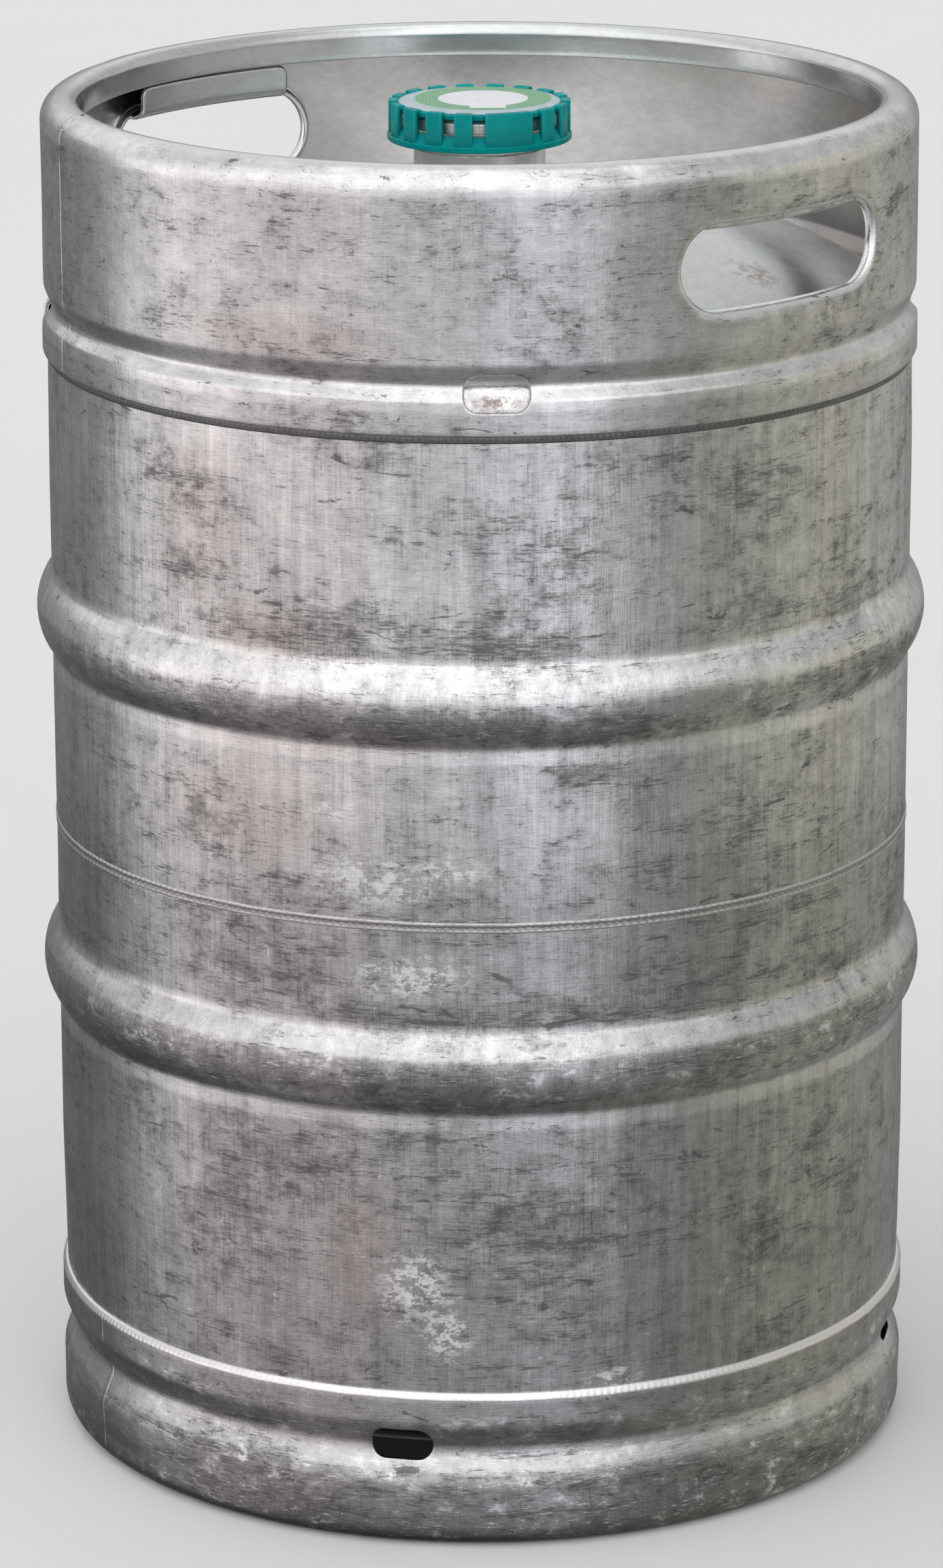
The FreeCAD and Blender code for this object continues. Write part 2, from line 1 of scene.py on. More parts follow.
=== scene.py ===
import math
from collections import namedtuple
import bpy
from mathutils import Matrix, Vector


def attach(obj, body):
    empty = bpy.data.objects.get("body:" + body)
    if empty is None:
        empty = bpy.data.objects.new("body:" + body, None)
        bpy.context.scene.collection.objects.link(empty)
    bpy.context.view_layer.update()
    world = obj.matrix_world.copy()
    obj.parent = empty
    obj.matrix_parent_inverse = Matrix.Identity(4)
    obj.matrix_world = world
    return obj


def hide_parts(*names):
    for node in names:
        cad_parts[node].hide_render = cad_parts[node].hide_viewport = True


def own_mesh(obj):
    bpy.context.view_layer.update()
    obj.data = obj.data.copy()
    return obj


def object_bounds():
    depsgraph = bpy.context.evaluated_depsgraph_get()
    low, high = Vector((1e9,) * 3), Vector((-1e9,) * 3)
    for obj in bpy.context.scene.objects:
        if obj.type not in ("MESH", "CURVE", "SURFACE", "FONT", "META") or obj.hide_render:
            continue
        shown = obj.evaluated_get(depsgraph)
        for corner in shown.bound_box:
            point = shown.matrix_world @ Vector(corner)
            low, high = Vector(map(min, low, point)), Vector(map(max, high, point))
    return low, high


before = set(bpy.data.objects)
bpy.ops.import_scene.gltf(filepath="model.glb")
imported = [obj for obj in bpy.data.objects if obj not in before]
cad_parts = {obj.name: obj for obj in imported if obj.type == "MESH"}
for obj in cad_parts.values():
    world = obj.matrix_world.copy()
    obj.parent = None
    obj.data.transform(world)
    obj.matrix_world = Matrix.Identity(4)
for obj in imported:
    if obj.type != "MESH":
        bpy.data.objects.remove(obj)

from types import SimpleNamespace

import bmesh
import bpy
import numpy as np
from mathutils import Matrix

# A worn stainless steel beer keg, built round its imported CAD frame. Lengths in the outlines below are
# millimetres in the frame's own axes and become metres in make_piece. Angles are degrees from +X.
# In the materials, heights and distances on the keg are metres.

CAD_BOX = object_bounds()
MM = 0.001
HEIGHT = CAD_BOX[1].z / MM

# --- sizes the pieces share -------------------------------------------------------
HOOP_ZS = (211.1, 369.0)
HOOP_HALF = 17.25
WALL_R = 186.4
HOOP_R = 193.0
TOP_SHOULDER = (185.9, 488.4)
BOTTOM_SHOULDER = (185.4, 68.5)
MIDDLE_WELD_Z = 275.0
TOP_WELD_Z = 482.6
BOTTOM_WELD_Z = 67.6
SHELL_T = 1.5
SHELL_COLUMNS = 512
CHIME_R = 187.5
CHIME_T = 2.0
CHIME_COLUMNS = 720
HANDHOLE_ANGLES = (0.0, 180.0)
HANDHOLE_Z = 546.0
HANDHOLE_HALF_STRAIGHT = 38.3
HANDHOLE_RADIUS = 17.7
HANDHOLE_BEND = 5.0
HANDHOLE_DEPTH = 6.2
TOP_DRAIN_ANGLES = [-41.7 + 90.0 * i for i in range(4)]
BOTTOM_DRAIN_ANGLES = [-54.5 + 90.0 * i for i in range(4)]
TOP_SEAM_ANGLE = -113.5
BOTTOM_SEAM_ANGLE = -106.2
CAP_WIDE_BAR_ANGLE = -24.2
# How far the photographed side is turned from -Y towards +X.
CAMERA_AZIMUTH = 46.2


# --- outlines ---------------------------------------------------------------------
def rounded(corners, step=1.8, arc_step=7.0):
    """Points of an open path through corners (r, z, fillet), with rounded corners."""
    points = [np.array(corners[0][:2], float)]
    for before, (r, z, fillet), after in zip(corners, corners[1:], corners[2:]):
        corner = np.array((r, z), float)
        into = corner - np.array(before[:2], float)
        out = np.array(after[:2], float) - corner
        into /= np.linalg.norm(into)
        out /= np.linalg.norm(out)
        turn = math.acos(max(-1.0, min(1.0, float(into @ out))))
        reach = fillet * math.tan(turn / 2.0)
        side = 1.0 if into[0] * out[1] - into[1] * out[0] > 0.0 else -1.0
        normal = side * np.array((-into[1], into[0]))
        centre = corner - into * reach + normal * fillet
        count = max(3, int(math.degrees(turn) / arc_step) + 1)
        for i in range(count + 1):
            a = turn * i / count
            points.append(centre - normal * fillet * math.cos(a) + into * fillet * math.sin(a))
    points.append(np.array(corners[-1][:2], float))
    return spaced(points, step)


def spaced(points, step):
    """The same line with points no further than step apart, and none doubled."""
    line = [points[0]]
    for point in points[1:]:
        length = np.linalg.norm(point - line[-1])
        if length < 0.02:
            continue
        start = line[-1]
        count = max(1, int(math.ceil(length / step)))
        for i in range(1, count + 1):
            line.append(start + (point - start) * i / count)
    return np.array(line)


def outward(line):
    """Unit normals of a path in the half plane, on its right-hand side."""
    along = np.gradient(line, axis=0)
    along /= np.linalg.norm(along, axis=1)[:, None]
    return np.stack((along[:, 1], -along[:, 0]), axis=1)


def sheet_loop(line, thickness):
    """The closed section of a sheet whose outer face is line, with rounded edges."""
    normals = outward(line)
    inner = line - normals * thickness
    half = thickness / 2.0

    def end(point, normal, direction):
        middle = point - normal * half
        angles = np.radians((30.0, 60.0, 90.0, 120.0, 150.0))
        return [middle + half * (normal * math.cos(a) + direction * math.sin(a)) for a in angles]

    last = (line[-1] - line[-2]) / np.linalg.norm(line[-1] - line[-2])
    first = (line[0] - line[1]) / np.linalg.norm(line[0] - line[1])
    far = end(line[-1], normals[-1], last)
    near = end(line[0], normals[0], first)[::-1]
    return np.concatenate((line, far, inner[::-1], near)), len(far)


# --- meshes -----------------------------------------------------------------------
class Skin:
    """Points and faces of one piece, gathered block by block."""

    def __init__(self):
        self.blocks = []
        self.quads = []
        self.polygons = []
        self.count = 0

    def add(self, points):
        points = np.asarray(points, float).reshape(-1, 3)
        self.blocks.append(points)
        start = self.count
        self.count += len(points)
        return np.arange(start, self.count)

    def strip(self, a, b, closed=True):
        """Quads between two rows of point numbers of equal length."""
        if closed:
            self.quads.append(np.stack((a, np.roll(a, -1), np.roll(b, -1), b), axis=1))
        else:
            self.quads.append(np.stack((a[:-1], a[1:], b[1:], b[:-1]), axis=1))

    def rows(self, rows, closed_rows=False, closed_columns=True):
        for a, b in zip(rows, rows[1:]):
            self.strip(a, b, closed_columns)
        if closed_rows:
            self.strip(rows[-1], rows[0], closed_columns)

    def capped(self, rings):
        """A closed bar through rings of points, with a flat face at both ends."""
        self.rows(rings)
        self.polygons += [list(rings[0]), list(rings[-1][::-1])]

    def points(self):
        return np.concatenate(self.blocks)


def turned(outline, angle):
    """The points (r, z) of an outline, turned to an angle in radians round the keg."""
    r, z = np.asarray(outline, float).T
    return np.stack((r * math.cos(angle), r * math.sin(angle), z), axis=1)


def make_piece(name, skin, body, replaces, material, dent=None):
    """A smooth shaded mesh object in metres that rides on a body and stands for CAD nodes."""
    points = skin.points()
    if dent is not None:
        points = dent(points)
    quads = np.concatenate(skin.quads) if skin.quads else np.zeros((0, 4), int)
    mesh = bpy.data.meshes.new(name)
    mesh.vertices.add(len(points))
    mesh.vertices.foreach_set("co", (points * MM).astype(np.float32).ravel())
    corners = [quads.ravel()] + [np.array(p) for p in skin.polygons]
    sizes = [4] * len(quads) + [len(p) for p in skin.polygons]
    loops = np.concatenate(corners).astype(np.int32)
    starts = np.concatenate(((0,), np.cumsum(sizes)[:-1])).astype(np.int32)
    mesh.loops.add(len(loops))
    mesh.loops.foreach_set("vertex_index", loops)
    mesh.polygons.add(len(sizes))
    mesh.polygons.foreach_set("loop_start", starts)
    mesh.update(calc_edges=True)
    mesh.validate()
    outside(mesh)
    mesh.polygons.foreach_set("use_smooth", np.ones(len(mesh.polygons), bool))
    piece = bpy.data.objects.new(name, mesh)
    bpy.context.scene.collection.objects.link(piece)
    piece.data.materials.append(material)
    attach(piece, body)
    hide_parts(*replaces)
    return piece


def keg_steel(name, skin, node, material):
    """A piece of the keg's own steel, with its knocks and dents."""
    return make_piece(name, skin, "keg", [node], material, knocked)


def outside(mesh):
    """Turns every face of a closed mesh outwards."""
    work = bmesh.new()
    work.from_mesh(mesh)
    bmesh.ops.recalc_face_normals(work, faces=work.faces)
    work.to_mesh(mesh)
    work.free()


def lathe_rows(skin, loop, columns):
    """Adds the rows of a turned section and returns their point numbers."""
    angles = np.radians(360.0 * np.arange(columns) / columns)
    rows = []
    for r, z in loop:
        ring = np.stack((r * np.cos(angles), r * np.sin(angles), np.full(columns, z)), axis=1)
        rows.append(skin.add(ring))
    return rows


def turned_solid(section, columns=160):
    """A solid of revolution round Z: section is a closed list of (r, z), or one that ends on the axis."""
    skin = Skin()
    open_line = [p for p in section if p[0] > 1e-6]
    rows = lathe_rows(skin, open_line, columns)
    if len(open_line) < len(section):
        skin.capped(rows)
    else:
        skin.rows(rows, closed_rows=True)
    return skin


def bevelled(corners, fillet, step=2.0):
    """A closed section with every corner rounded by fillet, or by its own third value."""
    full = [(c[0], c[1], c[2] if len(c) > 2 else fillet) for c in corners]
    middle = ((full[0][0] + full[-1][0]) / 2.0, (full[0][1] + full[-1][1]) / 2.0, 0.0)
    line = rounded([middle] + full + [middle], step, 18.0)
    return line[:-1]


# --- knocks and dents -------------------------------------------------------------
DENTS = [
    # angle, height, half width, half height, depth (millimetres along the wall)
    (-12.3, 21.0, 62.0, 15.0, 2.3),
    (3.0, 108.0, 32.0, 42.0, 2.8),
    (14.5, 106.0, 7.0, 36.0, 1.3),
    (-21.3, 150.0, 11.0, 42.0, 0.8),
    (-63.3, 183.0, 8.0, 6.0, 0.9),
    (-46.3, 186.0, 7.0, 5.0, 0.7),
    (-77.3, 128.0, 26.0, 18.0, 0.45),
    (-35.3, 318.0, 30.0, 22.0, 0.4),
    (-89.3, 330.0, 34.0, 26.0, 0.4),
    (-52.3, 428.0, 24.0, 30.0, 0.4),
    (-101.3, 12.0, 30.0, 9.0, 1.0),
    (-59.3, 588.0, 13.0, 6.0, 0.8),
    (-25.3, 589.0, 9.0, 5.0, 0.9),
    (72.7, 470.0, 30.0, 24.0, 1.1),
    (120.7, 140.0, 34.0, 30.0, 1.6),
    (162.7, 300.0, 26.0, 22.0, 0.9),
    (-147.3, 90.0, 30.0, 22.0, 1.2),
    (47.7, 14.0, 30.0, 10.0, 1.2),
    (202.7, 588.0, 16.0, 6.0, 1.0),
]
WAVES = [
    # turns round the keg, waves per metre of height, height in millimetres
    (5, 7.0, 0.05),
    (9, -11.0, 0.04),
    (14, 17.0, 0.03),
    (23, -21.0, 0.02),
    (2, 3.0, 0.06),
]


def knocked(points):
    """The keg's steel after years of use: every wall pushed in a little where it was knocked."""
    radius = np.hypot(points[:, 0], points[:, 1])
    angle = np.arctan2(points[:, 1], points[:, 0])
    inward = np.zeros(len(points))
    for i, (turns, waves, amount) in enumerate(WAVES):
        phase = 1.7 * i
        along = points[:, 2] * MM * waves * 2.0 * math.pi
        inward += amount * (1.0 + np.cos(turns * angle + along + phase))
    for where, height, half_width, half_height, depth in DENTS:
        away = (angle - math.radians(where) + math.pi) % (2.0 * math.pi) - math.pi
        u = away * WALL_R / half_width
        v = (points[:, 2] - height) / half_height
        inward += depth * np.exp(-1.6 * (u * u + v * v))
    share = np.clip((radius - 150.0) / 25.0, 0.0, 1.0)
    factor = 1.0 - inward * share / np.maximum(radius, 1.0)
    moved = points.copy()
    moved[:, 0] *= factor
    moved[:, 1] *= factor
    return moved


# --- sheets with holes --------------------------------------------------------------
# A slot through a sheet, its corners rounded to radius about a core of half_straight by half_core. The
# sheet's own grid stops margin outside it. Each chain lists (growth of the outline, depth below that
# face), from the face down to where the two faces' chains meet.
Hole = namedtuple("Hole", "angle height half_straight half_core radius margin outer_chain inner_chain")
FILL_RINGS = 6


def ring_sheet(line, columns, holes):
    """A chime: a turned sheet whose outer face is line, with holes pressed or cut through it."""
    loop, end_count = sheet_loop(line, CHIME_T)
    skin = Skin()
    rows = lathe_rows(skin, loop, columns)
    inner_line = line - outward(line) * CHIME_T
    last_inner = 2 * len(line) + end_count - 1
    inner_rows = [rows[last_inner - j] for j in range(len(line))]
    keep = np.ones((len(rows), columns), bool)
    for hole in holes:
        low, high, chosen = hole_window(line, columns, hole)
        for j in range(low, high):
            keep[j, chosen[:-1]] = False
            keep[last_inner - 1 - j, chosen[:-1]] = False
        edges = [loop_round(face_rows, low, high, chosen) for face_rows in (rows, inner_rows)]
        fill_to_hole(skin, edges, (line[low:high + 1], inner_line[low:high + 1]), hole)
    for a, b, kept in zip(rows, rows[1:] + rows[:1], keep):
        quads = np.stack((a, np.roll(a, -1), np.roll(b, -1), b), axis=1)
        skin.quads.append(quads[kept])
    return skin


def hole_window(line, columns, hole):
    """The first and last row and the columns of the grid that a hole takes out."""
    reach = hole.radius + hole.half_core + hole.margin
    inside = np.nonzero(np.abs(line[:, 1] - hole.height) < reach)[0]
    inside = inside[(inside > 2) & (inside < len(line) - 3)]
    centre = math.radians(hole.angle)
    width = (hole.half_straight + hole.radius + hole.margin) / CHIME_R
    pitch = 2.0 * math.pi / columns
    first = int(math.floor((centre - width) / pitch))
    last = int(math.ceil((centre + width) / pitch))
    return int(inside[0]), int(inside[-1]), [c % columns for c in range(first, last + 1)]


def loop_round(rows, low, high, columns):
    """Point numbers round a rectangle of the grid, in order."""
    bottom = [rows[low][c] for c in columns]
    right = [rows[r][columns[-1]] for r in range(low + 1, high)]
    top = [rows[high][c] for c in columns[::-1]]
    left = [rows[r][columns[0]] for r in range(high - 1, low, -1)]
    return np.array(bottom + right + top + left)


def fill_to_hole(skin, edges, faces, hole):
    """Fills both faces from the edges of the grid's gap to the hole, and joins them through it."""
    everything = skin.points()
    centre = math.radians(hole.angle)
    turn = np.array(((math.cos(centre), math.sin(centre)), (-math.sin(centre), math.cos(centre))))

    def flat(numbers):
        xy = everything[numbers][:, :2] @ turn.T
        return np.stack((xy[:, 1], everything[numbers][:, 2] - hole.height), axis=1)

    def placed(yz, face, depth):
        r, z = face[np.argsort(face[:, 1])].T
        r = np.interp(yz[:, 1] + hole.height, z, r)
        x = np.sqrt(np.maximum(r * r - yz[:, 0] ** 2, 1.0)) - depth
        xy = np.stack((x, yz[:, 0]), axis=1) @ turn
        return np.column_stack((xy, yz[:, 1] + hole.height))

    start = flat(edges[0])
    core = np.stack((np.clip(start[:, 0], -hole.half_straight, hole.half_straight),
                     np.clip(start[:, 1], -hole.half_core, hole.half_core)), axis=1)
    away = start - core
    away /= np.linalg.norm(away, axis=1)[:, None]
    meeting = []
    for ring, face, chain in zip(edges, faces, (hole.outer_chain, hole.inner_chain)):
        begin = flat(ring)
        goal = core + away * (hole.radius + chain[0][0])
        layers = []
        for i in range(1, FILL_RINGS + 1):
            share = i / FILL_RINGS
            share = share * (1.4 - 0.4 * share)
            layers.append((begin + (goal - begin) * share, chain[0][1]))
        layers += [(core + away * (hole.radius + growth), depth) for growth, depth in chain[1:]]
        for outline, depth in layers:
            fresh = skin.add(placed(outline, face, depth))
            skin.strip(ring, fresh)
            ring = fresh
        meeting.append(ring)
    skin.strip(*meeting)


def handhole(angle):
    """A handhole whose edge is drawn inwards all round."""
    bends = np.radians(np.arange(0.0, 91.0, 11.25))
    outer = [(HANDHOLE_BEND * (1.0 - math.sin(a)), HANDHOLE_BEND * (1.0 - math.cos(a))) for a in bends]
    thick = CHIME_T
    inner_bend = HANDHOLE_BEND - thick
    inner = [(thick + inner_bend * (1.0 - math.sin(a)), inner_bend * (1.0 - math.cos(a))) for a in bends]
    nose = np.radians((20.0, 45.0, 70.0))
    half = thick / 2.0
    deep = HANDHOLE_DEPTH - half
    outer += [(half - half * math.cos(a), deep + half * math.sin(a)) for a in nose]
    inner += [(half + half * math.cos(a), deep - thick + half * math.sin(a)) for a in nose]
    outer.append((half, HANDHOLE_DEPTH))
    return Hole(angle, HANDHOLE_Z, HANDHOLE_HALF_STRAIGHT, 0.0, HANDHOLE_RADIUS, 10.0, outer, inner)


def drain(angle, height, width, tall, corner):
    """A slot with round corners cut straight through, with its sharp edges worn off."""
    outer = [(0.7, 0.0), (0.35, 0.08), (0.1, 0.3), (0.0, 0.7)]
    inner = [(0.5, 0.0), (0.15, -0.12), (0.0, -0.5)]
    return Hole(angle, height, width / 2.0 - corner, tall / 2.0 - corner, corner, 4.5, outer, inner)


# --- materials --------------------------------------------------------------------
class Value:
    """A node's output, which can be added, taken away and multiplied like a number."""

    def __init__(self, graph, socket):
        self.graph = graph
        self.socket = socket

    def __add__(self, other):
        return self.graph.math("ADD", self, other)

    def __radd__(self, other):
        return self.graph.math("ADD", other, self)

    def __sub__(self, other):
        return self.graph.math("SUBTRACT", self, other)

    def __rsub__(self, other):
        return self.graph.math("SUBTRACT", other, self)

    def __mul__(self, other):
        return self.graph.math("MULTIPLY", self, other)

    def __abs__(self):
        return self.graph.math("ABSOLUTE", self)


class Graph:
    """A node tree written in a few words."""

    def __init__(self, tree):
        self.tree = tree

    def node(self, kind, **settings):
        made = self.tree.nodes.new(kind)
        for name, value in settings.items():
            setattr(made, name, value)
        return made

    def feed(self, socket, value):
        value = getattr(value, "socket", value)
        if isinstance(value, bpy.types.NodeSocket):
            self.tree.links.new(value, socket)
        else:
            socket.default_value = value

    def made(self, kind, values, output=0, **settings):
        """The output of a new node whose first sockets are fed in order."""
        node = self.node(kind, **settings)
        for socket, value in zip(node.inputs, values):
            self.feed(socket, value)
        return Value(self, node.outputs[output])

    def named(self, kind, **inputs):
        """The first output of a new node whose sockets are fed by name."""
        node = self.node(kind)
        for name, value in inputs.items():
            self.feed(node.inputs[name], value)
        return Value(self, node.outputs[0])

    def math(self, operation, *values, clamp=False):
        return self.made("ShaderNodeMath", values, operation=operation, use_clamp=clamp)

    def vector(self, operation, *values):
        output = "Value" if operation in ("LENGTH", "DOT_PRODUCT") else "Vector"
        return self.made("ShaderNodeVectorMath", values, output, operation=operation)

    def split(self, vector):
        """The three parts of a vector."""
        node = self.node("ShaderNodeSeparateXYZ")
        self.feed(node.inputs[0], vector)
        return [Value(self, output) for output in node.outputs]

    def most(self, largest, *others):
        for other in others:
            largest = self.math("MAXIMUM", largest, other)
        return largest

    def ramp(self, value, low, high, to_low=0.0, to_high=1.0):
        """value from low to high becomes to_low to to_high, smoothly."""
        values = (value, low, high, to_low, to_high)
        return self.made("ShaderNodeMapRange", values, interpolation_type="SMOOTHSTEP", clamp=True)

    def noise(self, place, scale, detail, roughness, distortion=0.0):
        return self.named("ShaderNodeTexNoise", Vector=place, Scale=scale, Detail=detail,
                          Roughness=roughness, Distortion=distortion)

    def grain(self, place, along, up, shift, detail, roughness, distortion=0.0):
        """Noise whose features measure along (round the keg) by up (height), in millimetres."""
        scaled = self.vector("MULTIPLY", place, (1000.0 / along, 1000.0 / along, 1000.0 / up))
        shifted = self.vector("ADD", scaled, (shift, shift * 1.7, shift * 0.6))
        return self.noise(shifted, 1.0, detail, roughness, distortion)

    def leaned(self, height, share):
        """A sideways shift that grows with height, so that level marks slope."""
        return self.made("ShaderNodeCombineXYZ", [height * share] * 2)

    def mixed(self, kind, share, a, b, first_socket, output):
        node = self.node("ShaderNodeMix", data_type=kind, clamp_factor=True)
        self.feed(node.inputs[0], share)
        self.feed(node.inputs[first_socket], a)
        self.feed(node.inputs[first_socket + 1], b)
        return Value(self, node.outputs[output])

    def between(self, share, a, b):
        """The number a where share is 0, b where it is 1."""
        return self.mixed("FLOAT", share, a, b, 2, 0)

    def colour(self, share, a, b):
        """The colour a where share is 0, b where it is 1."""
        return self.mixed("RGBA", share, a, b, 6, 2)

    def bump(self, height, distance, strength):
        return self.named("ShaderNodeBump", Height=height, Distance=distance, Strength=strength)


def new_material(name):
    """A new material, its graph, its shader and the place on the object that is being drawn."""
    material = bpy.data.materials.new(name)
    material.use_nodes = True
    graph = Graph(material.node_tree)
    place = graph.node("ShaderNodeTexCoord").outputs["Object"]
    return material, graph, material.node_tree.nodes["Principled BSDF"], place


def dress(graph, shader, base, rough, relief, depth, strength):
    """Feeds the shader's colour and roughness, and a relief whose depth is in metres."""
    graph.feed(shader.inputs["Base Color"], base)
    graph.feed(shader.inputs["Roughness"], rough)
    graph.feed(shader.inputs["Normal"], graph.bump(relief, depth, strength))


def grey(level, warm=0.0, green=0.0):
    """A near-neutral colour with a little warmth or green."""
    return (level * (1.0 + warm), level * (1.0 + green), level * (1.0 - warm), 1.0)


def spot_share(graph, place, angle, height, half_width, half_height, wobble=0.0, radius=WALL_R):
    """1 inside a soft-edged patch on the keg's wall, 0 outside."""
    a = math.radians(angle)
    centre = (radius * MM * math.cos(a), radius * MM * math.sin(a), height * MM)
    offset = graph.vector("SUBTRACT", place, centre)
    across, up = 1000.0 / half_width, 1000.0 / half_height
    scaled = graph.vector("MULTIPLY", offset, (across, across, up))
    return graph.ramp(graph.vector("LENGTH", scaled) + wobble, 1.25, 0.35)


CHALK_SPOTS = [
    # angle, height, half width, half height
    (-57.8, 294.0, 38.0, 15.0),
    (-47.3, 300.0, 26.0, 8.0),
    (-53.3, 253.0, 34.0, 12.0),
    (-52.3, 117.0, 20.0, 22.0),
    (-48.3, 96.0, 13.0, 15.0),
    (-63.3, 322.0, 9.0, 6.0),
    (-26.3, 74.0, 14.0, 6.0),
    (98.7, 150.0, 34.0, 26.0),
    (162.7, 420.0, 26.0, 18.0),
]
RUB_SPOTS = [
    (-41.3, 412.0, 40.0, 34.0),
    (-59.3, 402.0, 60.0, 18.0),
    (-37.3, 135.0, 70.0, 46.0),
    (-72.3, 150.0, 60.0, 40.0),
    (-27.3, 430.0, 44.0, 30.0),
    (-43.3, 238.0, 90.0, 22.0),
    (62.7, 140.0, 80.0, 50.0),
    (152.7, 430.0, 60.0, 40.0),
    (-157.3, 250.0, 70.0, 40.0),
]
STAIN_SPOTS = [
    (-73.3, 396.0, 34.0, 16.0),
    (-77.3, 320.0, 44.0, 26.0),
    (-59.3, 130.0, 18.0, 34.0),
    (-83.3, 440.0, 26.0, 40.0),
    (-67.3, 352.0, 80.0, 9.0),
    (-67.3, 520.0, 50.0, 12.0),
    (112.7, 320.0, 60.0, 30.0),
]

RUST_SPOTS = [(angle, 496.0, 11.0, 4.0) for angle in TOP_DRAIN_ANGLES]
RUST_SPOTS += [(angle, 493.5, 4.0, 3.0) for angle in TOP_DRAIN_ANGLES]
# One rust stain on the head, whose distance from the keg's middle is the second value.
HEAD_RUST = (12.7, 527.8, 12.0, 20.0)
HEAD_RUST_R = 136.4


def height_band(graph, height, level, reach, soft):
    """1 within reach of a level, falling to 0 over soft, all in millimetres."""
    gap = abs(height - level * MM)
    return graph.ramp(gap, (reach + soft) * MM, reach * MM)


def find_faces(graph, s):
    """Marks the domed head, the sheets' outer faces and the turned-in edges of the openings, where the
    colour paints a highlight on the lips and shade on the cut edges.
    """
    flat_place = graph.vector("MULTIPLY", s.place, (1.0, 1.0, 0.0))
    normal = graph.node("ShaderNodeNewGeometry").outputs["Normal"]
    away = graph.vector("DOT_PRODUCT", graph.vector("NORMALIZE", flat_place), normal)
    s.head = graph.ramp(graph.vector("LENGTH", flat_place), 0.1815, 0.1785)
    s.outer = graph.ramp(away, -0.88, -0.55) * (1.0 - s.head)
    not_head = 1.0 - s.head
    # The handholes' turned-in lips, lightened in the colour as a painted highlight.
    s.lip = graph.ramp(abs(away), 0.965, 0.74) * graph.ramp(s.height, 0.518, 0.522)
    s.lip = s.lip * (graph.ramp(s.height, 0.574, 0.57) * not_head)
    # The handholes' cut edges, darkened in the colour as painted shade.
    s.cut_edge = graph.ramp(abs(away), 0.45, 0.2) * graph.ramp(s.height, 0.515, 0.513) * not_head


def lay_grain(graph, s):
    """The noises that the steel's marks are made from, coarse to fine."""
    s.cloud = graph.grain(s.place, 64.0, 44.0, 0.0, 5.0, 0.64)
    s.mottle = graph.grain(s.place, 13.0, 8.5, 3.0, 5.0, 0.72)
    s.grit = graph.grain(s.place, 6.0, 3.2, 41.0, 5.0, 0.8)
    s.level_lines = graph.grain(s.place, 15.0, 0.65, 5.0, 3.0, 0.75)
    s.upright_lines = graph.grain(s.place, 0.65, 15.0, 7.0, 3.0, 0.75)
    s.flow = graph.grain(s.place, 6.0, 110.0, 9.0, 5.0, 0.74)
    s.dash = graph.grain(s.place, 7.5, 0.8, 71.0, 3.0, 0.7)
    s.wobble = (s.mottle - 0.5) * 1.9
    s.patchy = s.grit * 0.6 + s.mottle * 0.5


def spots(graph, s, places, wobble):
    """1 inside any of a list of patches, 0 elsewhere."""
    return graph.most(0.0, *[spot_share(graph, s.place, *place, wobble) for place in places])


def find_dirt_and_painted_light(graph, s, wear):
    """How dirty the steel is: rubbed patches, the hoops' lower sides, and low on the keg; also the bands
    where the colour paints shade on the hoops' lower sides and highlights on upward slopes and the rim.
    """
    low_hoop, high_hoop = HOOP_ZS
    ragged = s.height + (s.grit - 0.5) * 0.026 + (s.cloud - 0.5) * 0.03
    # The hoops' lower halves: painted shade in the colour (grey 0.2 layer), and more dirt and scrapes there
    # too.
    s.crest = graph.most(height_band(graph, ragged, low_hoop - 3.5, 8.0, 3.0),
                         height_band(graph, ragged, high_hoop - 6.0, 6.5, 3.0))
    s.low = graph.ramp(s.height, 0.335, 0.262)
    s.footed = graph.ramp(s.height, 0.064, 0.056)
    # Bands on the hoops' upper slopes, just below the hoops, on the grooves' lower slopes and on the rim:
    # less dirt and less rough, and lightened in the colour as painted highlights.
    clean_and_highlight_bands = [(low_hoop + 14.0, 5.0), (high_hoop + 11.5, 7.0), (low_hoop - 21.0, 2.0),
                   (high_hoop - 21.0, 2.0), (498.5, 4.0), (39.0, 4.0), (587.0, 5.0)]
    s.clean = graph.most(0.0, *[height_band(graph, s.height, *band, 3.0) for band in clean_and_highlight_bands])
    above = graph.most(0.0, *[height_band(graph, s.height, z + 24.0, 3.0, 16.0) for z in HOOP_ZS])
    rubbed = spots(graph, s, RUB_SPOTS, s.wobble)
    zone = rubbed * 0.06 + graph.most(s.crest * 0.06, above * 0.045) + (s.low * 0.018 + wear)
    zone = zone + s.footed * 0.035 - s.clean * 0.07
    s.dirt = s.cloud * 0.52 + s.mottle * 0.48 + zone


